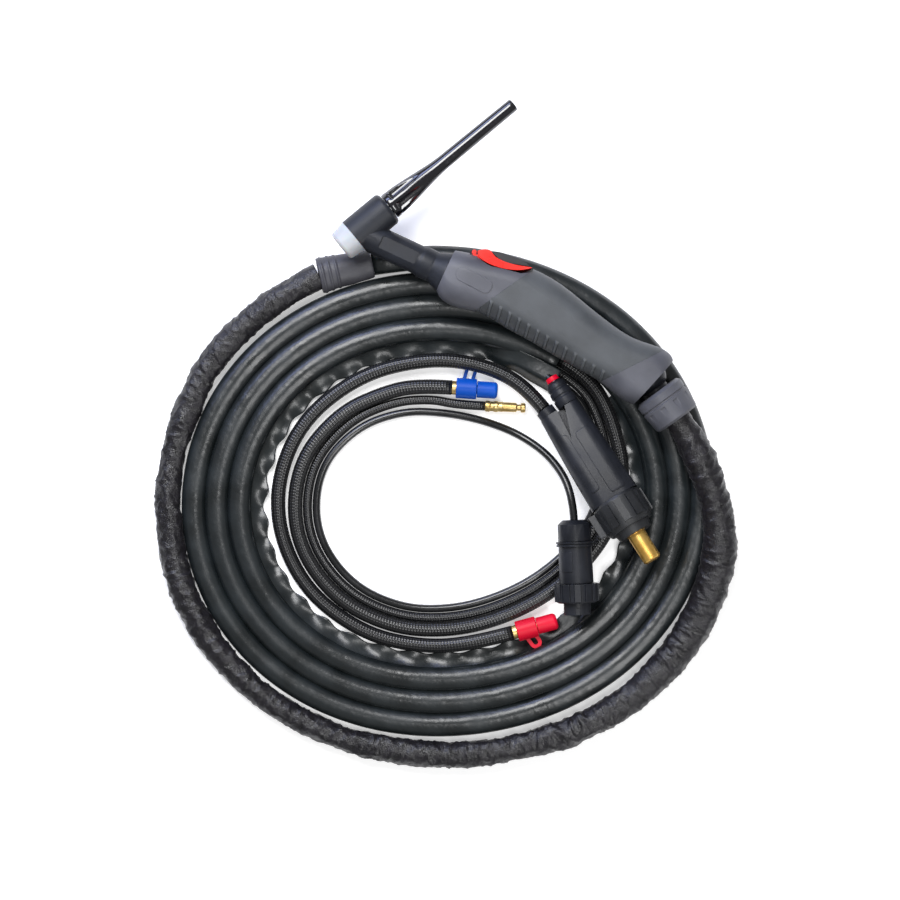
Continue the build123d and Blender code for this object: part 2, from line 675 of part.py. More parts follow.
leather_start = KNUCKLE + lead_axis * STEM_END
leather_route = [
    leather_start,
    leather_start + lead_axis * 32,
    ring_point(-17, 195, 19),
    ring_point(5, 196.0, LEATHER_R + REST),
    ring_point(27, 188.5, LEATHER_R + REST),
    ring_point(49, 181.0, LEATHER_R + REST),
    ring_point(71, 180.5, LEATHER_R + REST),
    ring_point(93, 187.0, LEATHER_R + REST),
    ring_point(115, 196.5, LEATHER_R + REST),
    ring_point(137, 203.5, LEATHER_R + REST),
    ring_point(159, 204.0, LEATHER_R + REST),
    ring_point(179, 200.0, LEATHER_R + REST),
    ring_point(194, 195.0, LEATHER_R + REST),
    JOINT_START - heading_vector(JOINT_START_HEADING) * 30,
    JOINT_START,
]
with BuildPart() as leather_cover:
    lay_tube("leather_cover", leather_route, LEATHER_R)
save(leather_cover.part, "leather_cover")


# ------------------------------------------------------------------ power plug

power = place_on(POWER_ROOT, heading_vector(POWER_HEADING, POWER_RISE))
power_front = -POWER_COLLAR_LENGTH - POWER_RING_LENGTH
power_rear = power_front - POWER_BODY_LENGTH
side = power.x_dir
branch_in = power.origin + power.z_dir * power_rear + side * POWER_BRANCH
port_foot = power.origin + power.z_dir * (power_rear + 3) - side * POWER_BRANCH
port_axis = heading_vector(POWER_HEADING + 186, -9)
nut_place = place_on(branch_in, power.z_dir * -1)
port = place_on(port_foot, port_axis)
plug_top = Plane(origin=power.origin, x_dir=power.z_dir, z_dir=power.z_dir.cross(side))

with BuildPart() as power_pin:
    spin(power, [
        (-POWER_COLLAR_LENGTH - 8, 0),
        (-POWER_COLLAR_LENGTH - 8, POWER_SHANK_R),
        (0, POWER_SHANK_R),
        (0, POWER_PIN_R),
        (POWER_PIN_LENGTH - 1, POWER_PIN_R),
        (POWER_PIN_LENGTH, POWER_PIN_R - 1),
        (POWER_PIN_LENGTH, 0),
    ])
save(power_pin.part, "power_pin")

with BuildPart() as power_plug_ring:
    spin(power, [
        (power_front, POWER_PIN_R + 4),
        (power_front, POWER_RING_R - 2.4),
        (power_front + 2, POWER_RING_R - 1.4),
        (-POWER_COLLAR_LENGTH - 3, POWER_RING_R - 1.4),
        (-POWER_COLLAR_LENGTH, POWER_RING_R - 3.4),
        (-POWER_COLLAR_LENGTH, POWER_COLLAR_R + 1.4),
        (0, POWER_COLLAR_R),
        (0, POWER_SHANK_R + RUN),
        (-POWER_COLLAR_LENGTH - 8, POWER_SHANK_R + RUN),
        (-POWER_COLLAR_LENGTH - 8, POWER_PIN_R + 4),
    ])
    with BuildSketch(power.offset(power_front + 2.5)):
        with PolarLocations(POWER_RING_R - 1.4, POWER_RING_PADS):
            Rectangle(2.8, 5.4)
    extrude(amount=POWER_RING_LENGTH - 6)
    lug_spot = Location((power_front + POWER_LUG[0] / 2 + 2, -POWER_RING_R - 0.4, 0))
    with Locations(plug_top.location * lug_spot):
        Box(*POWER_LUG)
save(power_plug_ring.part, "power_plug_ring")

with BuildPart() as power_plug_body:
    for back, wide, tall in ((0, POWER_BODY_WIDTH, POWER_BODY_HEIGHT),
                             (-0.45, POWER_BODY_WIDTH - 2, POWER_BODY_HEIGHT - 2),
                             (-1, POWER_REAR_WIDTH + 4, POWER_REAR_HEIGHT)):
        with BuildSketch(power.offset(power_front + back * POWER_BODY_LENGTH)):
            RectangleRounded(wide, tall, 0.42 * tall)
    loft()
    spin(power, [(power_front, 0), (power_front, POWER_PIN_R + 4 - 0.05),
                 (-POWER_COLLAR_LENGTH - 8, POWER_PIN_R + 4 - 0.05), (-POWER_COLLAR_LENGTH - 8, 0)])
    spin(port, [(0, 0), (0, PORT_R), (PORT_LENGTH, PORT_R), (PORT_LENGTH, 0)])
    spin(nut_place, [(-6, 0), (-6, POWER_NUT_R - 2), (5, POWER_NUT_R - 2), (5, 0)])
    spin(nut_place, [(5, 0), (5, CABLE_R), (-12, CABLE_R), (-12, 0)], Mode.SUBTRACT)
    with BuildSketch(plug_top.offset(1)):
        Polygon((power_rear - 1, -1.4), (power_rear - 1, 5.0), (power_rear + 23, -3.5), align=None)
    extrude(amount=20, mode=Mode.SUBTRACT)
save(power_plug_body.part, "power_plug_body")

with BuildPart() as power_cable_nut:
    spin(nut_place, [
        (GAP, POWER_NUT_R - 2 + RUN),
        (GAP, POWER_NUT_R - 0.3),
        (3, POWER_NUT_R),
        (6, POWER_NUT_R),
        (6.6, POWER_NUT_R - 0.7),
        (8, POWER_NUT_R - 0.7),
        (8.6, POWER_NUT_R),
        (12, POWER_NUT_R - 0.2),
        (12.6, POWER_NUT_R - 0.9),
        (13.8, POWER_NUT_R - 0.9),
        (14.4, POWER_NUT_R - 0.4),
        (POWER_NUT_LENGTH - 1.6, POWER_NUT_R - 0.9),
        (POWER_NUT_LENGTH, POWER_NUT_R - 2.4),
        (POWER_NUT_LENGTH, CABLE_R + GAP),
        (5 + GAP, CABLE_R + GAP),
        (5 + GAP, POWER_NUT_R - 2 + RUN),
    ])
save(power_cable_nut.part, "power_cable_nut")

cable_foot = nut_place.origin + nut_place.z_dir * (POWER_NUT_LENGTH + 1)
cable_mouth = end_point(mouth_inset, 9.9) - end_heading * 5
with BuildPart() as power_cable:
    spin(nut_place, [(5, 0), (5, CABLE_R), (POWER_NUT_LENGTH + 1, CABLE_R), (POWER_NUT_LENGTH + 1, 0)])
    with BuildSketch(nut_place.offset(POWER_NUT_LENGTH + 1)):
        Circle(CABLE_R)
    with BuildSketch(Plane(origin=cable_mouth, z_dir=end_heading * -1)):
        Circle(CABLE_R)
    loft()
save(power_cable.part, "power_cable")


# ------------------------------------------------------------------ control plug

control = place_on(CONTROL_BACK, heading_vector(CONTROL_HEADING))
flange_start = CONTROL_GLAND_LENGTH + GAP
body_start = flange_start + CONTROL_FLANGE_LENGTH
ring_start = body_start + CONTROL_BODY_LENGTH
nose_start = ring_start + CONTROL_RING_LENGTH
nose_end = nose_start + CONTROL_NOSE_LENGTH

with BuildPart() as control_plug_body:
    spin(control, [
        (flange_start - 9, SWITCH_R + 2),
        (flange_start - 9, CONTROL_GLAND_R - 3),
        (flange_start, CONTROL_GLAND_R - 3),
        (flange_start, CONTROL_FLANGE_R),
        (flange_start + 1.3, CONTROL_FLANGE_R),
        (flange_start + 1.5, CONTROL_FLANGE_R - 0.8),
        (flange_start + 1.9, CONTROL_FLANGE_R - 0.8),
        (flange_start + 2.1, CONTROL_FLANGE_R - 0.2),
        (body_start, CONTROL_FLANGE_R - 0.2),
        (body_start, CONTROL_BODY_R),
        (ring_start - GAP, CONTROL_BODY_R + 0.4),
        (ring_start - GAP, CONTROL_NOSE_R + 0.6),
        (nose_start, CONTROL_NOSE_R + 0.6),
        (nose_start, CONTROL_NOSE_R),
        (nose_end, CONTROL_NOSE_R),
        (nose_end, CONTROL_BORE_R),
        (ring_start, CONTROL_BORE_R),
        (ring_start, SWITCH_R + 2),
    ])
    with BuildSketch(control.offset(nose_end - 5)):
        with Locations((0, CONTROL_NOSE_R)):
            Rectangle(3, 1.6)
    extrude(amount=5, mode=Mode.SUBTRACT)
save(control_plug_body.part, "control_plug_body")

with BuildPart() as control_gland_nut:
    with BuildSketch(control):
        RegularPolygon(CONTROL_GLAND_R, 12)
    extrude(amount=CONTROL_GLAND_LENGTH)
    spin(control, [(0, CONTROL_GLAND_R - 3.4), (0, CONTROL_GLAND_R + 2), (3, CONTROL_GLAND_R + 2),
                   (3, CONTROL_GLAND_R - 0.2)], Mode.SUBTRACT)
    spin(control, [(0, 0), (0, SWITCH_R + GAP), (4, SWITCH_R + GAP), (4, CONTROL_GLAND_R - 3 + RUN),
                   (CONTROL_GLAND_LENGTH, CONTROL_GLAND_R - 3 + RUN), (CONTROL_GLAND_LENGTH, 0)],
         Mode.SUBTRACT)
save(control_gland_nut.part, "control_gland_nut")

with BuildPart() as control_coupling_ring:
    spin(control, [
        (ring_start, CONTROL_NOSE_R + 0.6 + RUN),
        (ring_start, CONTROL_RING_R - 1.4),
        (nose_start - 1, CONTROL_RING_R - 1.4),
        (nose_start, CONTROL_RING_R - 2.4),
        (nose_start, CONTROL_NOSE_R + 0.6 + RUN),
    ])
    with BuildSketch(control.offset(ring_start)):
        with PolarLocations(CONTROL_RING_R - 1.2, 12):
            Rectangle(2.2, 4.6)
    extrude(amount=CONTROL_RING_LENGTH - 1)
save(control_coupling_ring.part, "control_coupling_ring")

with BuildPart() as control_insert:
    spin(control, [(ring_start, 0), (ring_start, CONTROL_BORE_R), (nose_end - 3, CONTROL_BORE_R),
                   (nose_end - 3, 0)])
    with BuildSketch(control.offset(nose_end - 3)):
        with PolarLocations(CONTROL_BORE_R - 3, CONTROL_PIN_COUNT):
            Circle(CONTROL_PIN_R)
    extrude(amount=-8, mode=Mode.SUBTRACT)
save(control_insert.part, "control_insert")

with BuildPart() as control_pins:
    with BuildSketch(control.offset(nose_end - 11)):
        with PolarLocations(CONTROL_BORE_R - 3, CONTROL_PIN_COUNT):
            Circle(CONTROL_PIN_R)
    extrude(amount=10.4)
save(control_pins.part, "control_pins")


# ------------------------------------------------------------------ capped water ends, gas nipple

def capped_end(name, origin, heading, tether_heading, tether_length, tether_height):
    """Ferrule, nipple, coloured collar with its tether, and dust cap of one water hose."""
    place = place_on(origin, heading_vector(heading))
    collar_end = FERRULE_LENGTH + COLLAR_LENGTH
    cap_end = collar_end + REST + DUST_CAP_LENGTH
    with BuildPart() as ferrule:
        spin(place, [(0, 0), (0, FERRULE_R), (FERRULE_LENGTH + 4, FERRULE_R), (FERRULE_LENGTH + 4, 0)])
    save(ferrule.part, f"{name}_ferrule")
    with BuildPart() as nipple:
        spin(place, [
            (FERRULE_LENGTH + 4, 0),
            (FERRULE_LENGTH + 4, NIPPLE_R),
            (NIPPLE_LENGTH - 1, NIPPLE_R),
            (NIPPLE_LENGTH, NIPPLE_R - 1),
            (NIPPLE_LENGTH, 0),
        ])
    save(nipple.part, f"{name}_nipple")
    with BuildPart() as collar:
        spin(place, [
            (FERRULE_LENGTH, 0),
            (FERRULE_LENGTH, COLLAR_R),
            (collar_end, COLLAR_R),
            (collar_end, 0),
        ])
        fillet(rims(collar, COLLAR_R), 0.8)
        root = place.origin + place.z_dir * (FERRULE_LENGTH + 0.45 * COLLAR_LENGTH)
        strap = Plane(origin=(root.X, root.Y, FLOOR + tether_height), x_dir=heading_vector(tether_heading),
                      z_dir=(0, 0, 1))
        with BuildSketch(strap):
            with Locations((tether_length / 2 + 2, 0)):
                SlotOverall(tether_length + 6, TETHER_WIDTH)
                SlotOverall(tether_length + 6 - 2 * TETHER_STRAND, TETHER_WIDTH - 2 * TETHER_STRAND,
                            mode=Mode.SUBTRACT)
        extrude(amount=TETHER_STRAND)
        spin(place, [(0, 0), (0, FERRULE_R), (FERRULE_LENGTH + 4, FERRULE_R), (FERRULE_LENGTH + 4, NIPPLE_R),
                     (collar_end + 3, NIPPLE_R), (collar_end + 3, 0)], Mode.SUBTRACT)
    save(collar.part, f"{name}_cap_collar")
    with BuildPart() as cap:
        spin(place, [
            (collar_end + REST, 0),
            (collar_end + REST, DUST_CAP_R),
            (cap_end, DUST_CAP_R),
            (cap_end, 0),
        ])
        fillet(rims(cap, DUST_CAP_R).sort_by(Axis(place.origin, place.z_dir))[-1], 2.6)
        spin(place, [(0, 0), (0, NIPPLE_R + RUN), (NIPPLE_LENGTH + REST, NIPPLE_R + RUN),
                     (NIPPLE_LENGTH + REST, 0)], Mode.SUBTRACT)
    save(cap.part, f"{name}_cap")


capped_end("water_in", WATER_END, WATER_HEADING, 97.0, 15.5, REST)
capped_end("return", RETURN_END, RETURN_HEADING, -28.0, 11.0, 6.4)

gas = place_on(GAS_END, heading_vector(GAS_HEADING))
with BuildPart() as gas_ferrule:
    spin(gas, [
        (0, 0),
        (0, GAS_FERRULE_R - 0.5),
        (1, GAS_FERRULE_R),
        (3.4, GAS_FERRULE_R),
        (3.8, GAS_FERRULE_R - 0.5),
        (6.2, GAS_FERRULE_R - 0.5),
        (6.6, GAS_FERRULE_R),
        (9, GAS_FERRULE_R),
        (9.4, GAS_FERRULE_R - 0.5),
        (GAS_FERRULE_LENGTH, GAS_FERRULE_R - 0.3),
        (GAS_FERRULE_LENGTH, 0),
    ])
save(gas_ferrule.part, "gas_ferrule")

with BuildPart() as gas_nipple:
    spin(gas, [
        (GAS_FERRULE_LENGTH, 1.5),
        (GAS_FERRULE_LENGTH, GAS_NIPPLE_R),
        (GAS_FERRULE_LENGTH + 9.5, GAS_NIPPLE_R),
        (GAS_FERRULE_LENGTH + 10.2, GAS_NIPPLE_R - 1.1),
        (GAS_FERRULE_LENGTH + 12.6, GAS_NIPPLE_R - 1.1),
        (GAS_FERRULE_LENGTH + 13.0, GAS_NIPPLE_R),
        (GAS_FERRULE_LENGTH + GAS_NIPPLE_LENGTH - 0.6, GAS_NIPPLE_R),
        (GAS_FERRULE_LENGTH + GAS_NIPPLE_LENGTH, GAS_NIPPLE_R - 0.6),
        (GAS_FERRULE_LENGTH + GAS_NIPPLE_LENGTH, 1.5),
    ])
save(gas_nipple.part, "gas_nipple")


# ------------------------------------------------------------------ tails of the lead

water_low = WATER_R + REST
water_route = [
    end_point(-2.2, water_low),
    end_point(-2.2, water_low) + end_heading * 22,
    ring_point(306, 128.6, water_low),
    ring_point(328, 124.2, water_low),
    ring_point(350, 110.5, water_low),
    ring_point(374, 96.4, water_low),
    ring_point(399, 89.4, water_low),
    ring_point(425, 90.6, water_low),
    ring_point(451, 98.2, water_low),
    ring_point(477, 107.9, water_low),
    ring_point(503, 114.7, water_low),
    ring_point(529, 112.8, water_low),
    ring_point(553, 102.0, water_low),
    ring_point(573, 91.5, water_low),
    WATER_END - heading_vector(WATER_HEADING) * 24,
    WATER_END,
]
with BuildPart() as water_in_hose:
    lay_tube("water_in_hose", water_route, WATER_R)
save(water_in_hose.part, "water_in_hose")

gas_low = GAS_R + REST
gas_route = [
    end_point(6.2, gas_low),
    end_point(6.2, gas_low) + end_heading * 22,
    ring_point(306, 120.0, gas_low),
    ring_point(328, 115.4, gas_low),
    ring_point(350, 101.6, gas_low),
    ring_point(374, 87.7, gas_low),
    ring_point(399, 80.8, gas_low),
    ring_point(425, 82.0, gas_low),
    ring_point(451, 89.6, gas_low),
    ring_point(477, 99.2, gas_low),
    ring_point(503, 105.9, gas_low),
    ring_point(529, 104.0, gas_low),
    ring_point(553, 93.4, gas_low),
    ring_point(575, 82.5, gas_low),
    ring_point(594, 74.6, 4.0),
    GAS_END - heading_vector(GAS_HEADING) * 20,
    GAS_END,
]
with BuildPart() as gas_hose:
    lay_tube("gas_hose", gas_route, GAS_R)
save(gas_hose.part, "gas_hose")

switch_low = SWITCH_R + REST
switch_route = [
    end_point(12.6, switch_low),
    end_point(12.6, switch_low) + end_heading * 22,
    ring_point(306, 113.4, switch_low),
    ring_point(328, 108.7, switch_low),
    ring_point(350, 95.0, switch_low),
    ring_point(374, 81.1, switch_low),
    ring_point(399, 74.2, switch_low),
    ring_point(425, 75.4, switch_low),
    ring_point(451, 83.0, switch_low),
    ring_point(477, 92.6, switch_low),
    ring_point(503, 99.3, switch_low),
    ring_point(529, 97.4, switch_low),
    ring_point(553, 86.4, switch_low),
    ring_point(577, 73.6, switch_low),
    ring_point(602, 63.6, switch_low),
    ring_point(627, 62.4, switch_low),
    ring_point(651, 68.6, switch_low),
    ring_point(672, 78.0, 14.0),
    CONTROL_BACK - heading_vector(CONTROL_HEADING) * 18,
    CONTROL_BACK + heading_vector(CONTROL_HEADING) * 4,
]
with BuildPart() as switch_cable:
    lay_tube("switch_cable", switch_route, SWITCH_R)
save(switch_cable.part, "switch_cable")

port_mouth = port.origin + port.z_dir * PORT_LENGTH
return_route = [
    port_mouth,
    port_mouth + port.z_dir * 22,
    ring_point(258, 100.0, 8.7),
    ring_point(236, 103.4, 8.7),
    ring_point(209, 112.0, water_low),
    ring_point(181, 123.2, water_low),
    ring_point(154, 127.4, water_low),
    ring_point(127, 122.6, water_low),
    ring_point(100, 112.6, water_low),
    ring_point(76, 104.2, water_low),
    RETURN_END - heading_vector(RETURN_HEADING) * 28,
    RETURN_END,
]
with BuildPart() as return_hose:
    lay_tube("return_hose", return_route, WATER_R)
save(return_hose.part, "return_hose")
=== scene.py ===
# %% [markdown]
# TIG welding torch on its coiled lead
#
# The torch has a T-shaped head with a long back cap, a rubber-covered handle with a side trigger and
# a ball knuckle.  Its lead runs on as a sewn leather cover, then as a rubber sleeve in three turns,
# and ends in a current plug, a control plug, two capped water hoses and a gas nipple.  The packed
# model gives every rigid piece at its real size and place.  This script dresses it: it finishes the
# rigid pieces, lays the lead, and lights it.

# %% Load the frame
import math

import bmesh
import bpy
from mathutils import Matrix, Vector, noise
from mathutils.bvhtree import BVHTree


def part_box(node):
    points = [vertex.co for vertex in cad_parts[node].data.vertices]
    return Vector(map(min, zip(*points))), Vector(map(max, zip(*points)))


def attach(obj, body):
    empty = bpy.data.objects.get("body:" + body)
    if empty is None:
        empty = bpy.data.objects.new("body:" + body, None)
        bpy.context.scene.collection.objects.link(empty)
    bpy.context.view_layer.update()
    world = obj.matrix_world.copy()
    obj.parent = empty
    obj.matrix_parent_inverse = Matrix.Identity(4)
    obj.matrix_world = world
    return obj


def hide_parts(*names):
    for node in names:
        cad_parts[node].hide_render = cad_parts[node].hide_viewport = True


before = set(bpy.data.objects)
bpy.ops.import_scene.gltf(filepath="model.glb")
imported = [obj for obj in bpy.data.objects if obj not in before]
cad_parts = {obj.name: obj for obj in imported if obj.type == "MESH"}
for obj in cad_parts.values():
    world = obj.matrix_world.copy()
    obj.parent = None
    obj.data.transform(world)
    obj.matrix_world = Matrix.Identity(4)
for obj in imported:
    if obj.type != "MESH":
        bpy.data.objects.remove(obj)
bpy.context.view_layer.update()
MM = 0.001
FLOOR = -33.0

# %% [markdown]
# Sizes below are written in millimetres, as on a drawing, and one factor turns them to metres.  The
# coil is easiest to describe in polar terms, so one helper takes a compass bearing round the centre
# of the coil, a radius and a height above the floor.  Headings are in degrees, anticlockwise from +X.

# %% Places
RING_X = 145.8
RING_Y = -129.1
HEAD_HEADING = 64.5
POWER_HEADING = -33.4


def ring_point(bearing, radius, height):
    """Point at a clockwise bearing from +X round the centre of the coil, in millimetres."""
    east = radius * math.cos(math.radians(bearing))
    south = radius * math.sin(math.radians(bearing))
    return Vector((RING_X + east, RING_Y - south, FLOOR + height))


def smooth_step(share):
    """Ease from 0 to 1 with a level start and end."""
    held = min(max(share, 0.0), 1.0)
    return held * held * (3 - 2 * held)


def heading_vector(heading, rise=0.0):
    """Unit vector at a heading, anticlockwise from +X, that climbs by rise."""
    level = math.cos(math.radians(rise))
    east = level * math.cos(math.radians(heading))
    return Vector((east, level * math.sin(math.radians(heading)), math.sin(math.radians(rise))))


def place_on(origin, axis):
    """Frame with its Z along an axis and its X level and to the left of it; millimetres to metres."""
    left = Vector((-axis.y, axis.x, 0)).normalized()
    turn = Matrix((left, axis.cross(left), axis)).transposed().to_4x4()
    return Matrix.Translation(origin * MM) @ turn @ Matrix.Scale(MM, 4)


# %% [markdown]
# Every new piece ends in the same way.  The bmesh that shaped it is shaded smooth, becomes an object
# at the origin with its place in its mesh, and is given its material, so two helpers do that.


# %% Pieces: helpers
def shade_smooth(shape, crease=180):
    """Shade faces smooth, and keep an edge hard where its faces turn by more than crease degrees."""
    for face in shape.faces:
        face.smooth = True
    for edge in shape.edges:
        edge.smooth = edge.calc_face_angle(0) < math.radians(crease)


def piece_from(shape, name, material):
    """Object with the shape of a bmesh, which it uses up."""
    mesh = bpy.data.meshes.new(name)
    shape.to_mesh(mesh)
    shape.free()
    mesh.materials.append(material)
    piece = bpy.data.objects.new(name, mesh)
    bpy.context.scene.collection.objects.link(piece)
    return piece


# %% [markdown]
# A finish is a small network of nodes.  One helper adds a node, sets its properties and fills or
# links its inputs, so each finish below reads as a list of what it is made of.  Colours are written
# as the eye names them, in sRGB hex, and turned to the linear values that light is counted in.

# %% Finishes: helpers
def linear(hex_colour):
    """Linear RGBA of an sRGB hex colour."""
    values = [int(hex_colour[i:i + 2], 16) / 255 for i in (1, 3, 5)]
    return [v / 12.92 if v <= 0.04045 else ((v + 0.055) / 1.055) ** 2.4 for v in values] + [1.0]


def add(tree, kind, inputs=None, **settings):
    """Add a node, set its properties, and fill or link its inputs."""
    made = tree.nodes.new("ShaderNode" + kind)
    for name, value in settings.items():
        setattr(made, name, value)
    for name, value in (inputs or {}).items():
        if isinstance(value, bpy.types.NodeSocket):
            tree.links.new(value, made.inputs[name])
        else:
            made.inputs[name].default_value = value
    return made


def finish(name, **values):
    """New material with a Principled shader; returns the material, its tree and the shader."""
    material = bpy.data.materials.new(name)
    material.use_nodes = True
    shader = material.node_tree.nodes["Principled BSDF"]
    for key, value in values.items():
        shader.inputs[key.replace("_", " ")].default_value = value
    return material, material.node_tree, shader


def fade(tree, factor, stops):
    """Colour ramp from (position, colour) stops."""
    ramp = add(tree, "ValToRGB", {"Fac": factor})
    ramp.color_ramp.elements[0].position, ramp.color_ramp.elements[0].color = stops[0]
    ramp.color_ramp.elements[1].position, ramp.color_ramp.elements[1].color = stops[-1]
    for position, colour in stops[1:-1]:
        ramp.color_ramp.elements.new(position).color = colour
    return ramp.outputs["Color"]


# %% [markdown]
# Moulded plastics first.  The plugs and the handle are glass-filled nylon and ABS from a mould whose
# steel was spark-eroded, which leaves a fine even grain about a quarter of a millimetre apart.  That
# is too fine for this picture, so it is drawn about twice as coarse.  Handling polishes the high
# places and leaves the rest dull, so the roughness wanders slowly over a few centimetres.

# %% Finishes: moulded plastics and rubbers
def moulded(name, dark, light, roughness, grain_mm=0.5, grain_depth=0.25, grain_rise=0.2, **values):
    """Moulded plastic or rubber: a grain from the mould, slow changes of tone and of polish."""
    material, tree, shader = finish(name, **values)
    place = add(tree, "TexCoord").outputs["Object"]
    slow = add(tree, "TexNoise", {"Vector": place, "Scale": 45.0, "Detail": 3.0}).outputs["Fac"]
    grain = add(tree, "TexNoise", {"Vector": place, "Scale": 1 / (grain_mm * MM), "Detail": 2.0})
    colour = fade(tree, slow, [(0.35, linear(dark)), (0.65, linear(light))])
    polish = add(tree, "MapRange", {"Value": slow, "From Min": 0.3, "From Max": 0.7,
                                    "To Min": roughness - 0.07, "To Max": roughness + 0.07})
    bump = add(tree, "Bump", {"Height": grain.outputs["Fac"], "Strength": grain_depth,
                              "Distance": grain_rise * MM})
    tree.links.new(colour, shader.inputs["Base Color"])
    tree.links.new(polish.outputs["Result"], shader.inputs["Roughness"])
    tree.links.new(bump.outputs["Normal"], shader.inputs["Normal"])
    return material


handle_abs = moulded("moulded ABS grey handle", "#44454c", "#505158", 0.5)
trigger_abs = moulded("moulded ABS red trigger", "#e01c10", "#ee2a1c", 0.34, grain_depth=0.08)
pad_tpe = moulded("soft TPE trigger pad", "#121215", "#1c1c20", 0.6)
head_rubber = moulded("silicone head cover", "#14161c", "#1f2229", 0.46, grain_mm=0.7, grain_depth=0.4,
                      Specular_IOR_Level=0.3)
insulator_ptfe = moulded("PTFE insulator", "#a9abb0", "#b8babd", 0.42, grain_depth=0.05,
                         Subsurface_Weight=0.2)
plug_nylon = moulded("moulded nylon plugs", "#14161b", "#212329", 0.4, grain_mm=0.7, grain_depth=0.35,
                     Specular_IOR_Level=0.25)
ring_rubber = moulded("firm rubber ring", "#0c0e11", "#17191d", 0.46, grain_depth=0.3)
joint_rubber = moulded("ribbed rubber joint", "#323238", "#3e3e44", 0.52, grain_depth=0.3)
insert_pps = moulded("moulded contact insert", "#0b0b0d", "#141416", 0.55)
seal_rubber = moulded("nitrile rubber seal", "#0c0c0d", "#161617", 0.55)
blue_pvc = moulded("soft PVC blue cap", "#0045a4", "#004fb6", 0.45, grain_depth=0.05,
                   Specular_IOR_Level=0.25)
red_pvc = moulded("soft PVC red cap", "#c80026", "#d8042e", 0.45, grain_depth=0.05,
                  Specular_IOR_Level=0.25)
cable_pvc = moulded("extruded PVC cable jacket", "#0b0c0d", "#131416", 0.24, grain_depth=0.04)
sleeve_rubber = moulded("extruded rubber sleeve", "#111516", "#1c2123", 0.33, grain_mm=7.0,
                        grain_depth=0.3, grain_rise=1.2)
print("moulded finishes:", [material.name for material in bpy.data.materials])

# %% [markdown]
# The grip is a second, softer shot moulded over the handle.  Low ribs cross its lower edge for the
# fingers, 7.4 mm apart.  They are shallow, so they are drawn as relief in the finish and not cut into
# the mesh: a band of rounded ridges, faded out by a mask that follows the edge.  The valleys between
# them are painted darker, partly as dust and partly as painted shade.

# %% Finish: ribbed grip
RIB_PITCH = 7.4
RIB_HEIGHT = 1.1
RIB_BAND_TOP = 23.5
RIB_BAND_FULL = 21.0
grip_tpe, tree, shader = finish("soft TPE grip")
place = add(tree, "TexCoord").outputs["Object"]
at = add(tree, "SeparateXYZ", {"Vector": place})
lean = add(tree, "Math", {0: at.outputs["Y"], 1: 0.14, 2: at.outputs["X"]}, operation="MULTIPLY_ADD")
phase = add(tree, "Math", {0: lean.outputs[0], 1: 2 * math.pi / (RIB_PITCH * MM)}, operation="MULTIPLY")
ridge = add(tree, "Math", {0: phase.outputs[0]}, operation="SINE")
crest = add(tree, "MapRange", {"Value": ridge.outputs[0], "From Min": 0.2, "From Max": 0.9},
            interpolation_type="SMOOTHSTEP")
edge = add(tree, "Math", {0: at.outputs["X"], 1: 0.12, 2: at.outputs["Y"]}, operation="MULTIPLY_ADD")
band = add(tree, "MapRange", {"Value": edge.outputs[0], "From Min": RIB_BAND_TOP * MM,
                              "From Max": RIB_BAND_FULL * MM}, interpolation_type="SMOOTHSTEP")
ribs = add(tree, "Math", {0: crest.outputs[0], 1: band.outputs[0]}, operation="MULTIPLY")
# Painted shade and dust: the valleys between the ribs are mixed towards a darker grey.
valley = add(tree, "Math", {0: band.outputs[0], 1: ribs.outputs[0]}, operation="SUBTRACT")
dust_and_shade = add(tree, "Math", {0: valley.outputs[0], 1: 0.45}, operation="MULTIPLY")
shaded = add(tree, "MixRGB", {"Fac": dust_and_shade.outputs[0], "Color2": linear("#1c1d1f")})
grain = add(tree, "TexNoise", {"Vector": place, "Scale": 1 / (0.7 * MM), "Detail": 2.0})
fine = add(tree, "Bump", {"Height": grain.outputs["Fac"], "Strength": 0.35, "Distance": 0.2 * MM})
bump = add(tree, "Bump", {"Height": ribs.outputs[0], "Strength": 0.9,
                          "Distance": RIB_HEIGHT * MM, "Normal": fine.outputs["Normal"]})
slow = add(tree, "TexNoise", {"Vector": place, "Scale": 45.0, "Detail": 3.0}).outputs["Fac"]
tree.links.new(fade(tree, slow, [(0.35, linear("#383b3e")), (0.65, linear("#46494c"))]),
               shaded.inputs["Color1"])
tree.links.new(shaded.outputs["Color"], shader.inputs["Base Color"])
polish = add(tree, "MapRange", {"Value": slow, "From Min": 0.3, "From Max": 0.7, "To Min": 0.48,
                                "To Max": 0.6})
tree.links.new(polish.outputs["Result"], shader.inputs["Roughness"])
tree.links.new(bump.outputs["Normal"], shader.inputs["Normal"])

# %% [markdown]
# The long back cap is compression-moulded phenolic, rubbed to a gloss: a nearly black body under a
# hard clear skin, with hair-fine scuffs along its length where it meets the collet wrench and pockets.

# %% Finish: polished phenolic
cap_phenolic, tree, shader = finish("polished phenolic back cap", Coat_Weight=0.5, Coat_Roughness=0.06)
place = add(tree, "TexCoord").outputs["Object"]
along = add(tree, "Mapping", {"Vector": place, "Rotation": (0, 0, math.radians(-HEAD_HEADING)),
                              "Scale": (30.0, 900.0, 900.0)}).outputs["Vector"]
scuffs = add(tree, "TexNoise", {"Vector": along, "Scale": 1.0, "Detail": 4.0}).outputs["Fac"]
polish = add(tree, "MapRange", {"Value": scuffs, "From Min": 0.5, "From Max": 0.8,
                                "To Min": 0.12, "To Max": 0.24})
tree.links.new(polish.outputs["Result"], shader.inputs["Roughness"])
tree.links.new(fade(tree, scuffs, [(0.4, linear("#050509")), (0.75, linear("#0c0c14"))]),
               shader.inputs["Base Color"])

# %% [markdown]
# The metal pieces are free-cutting brass, turned on a lathe and left bright: a warm metal with fine
# rings from the tool.  The screws and pins are zinc-plated steel.

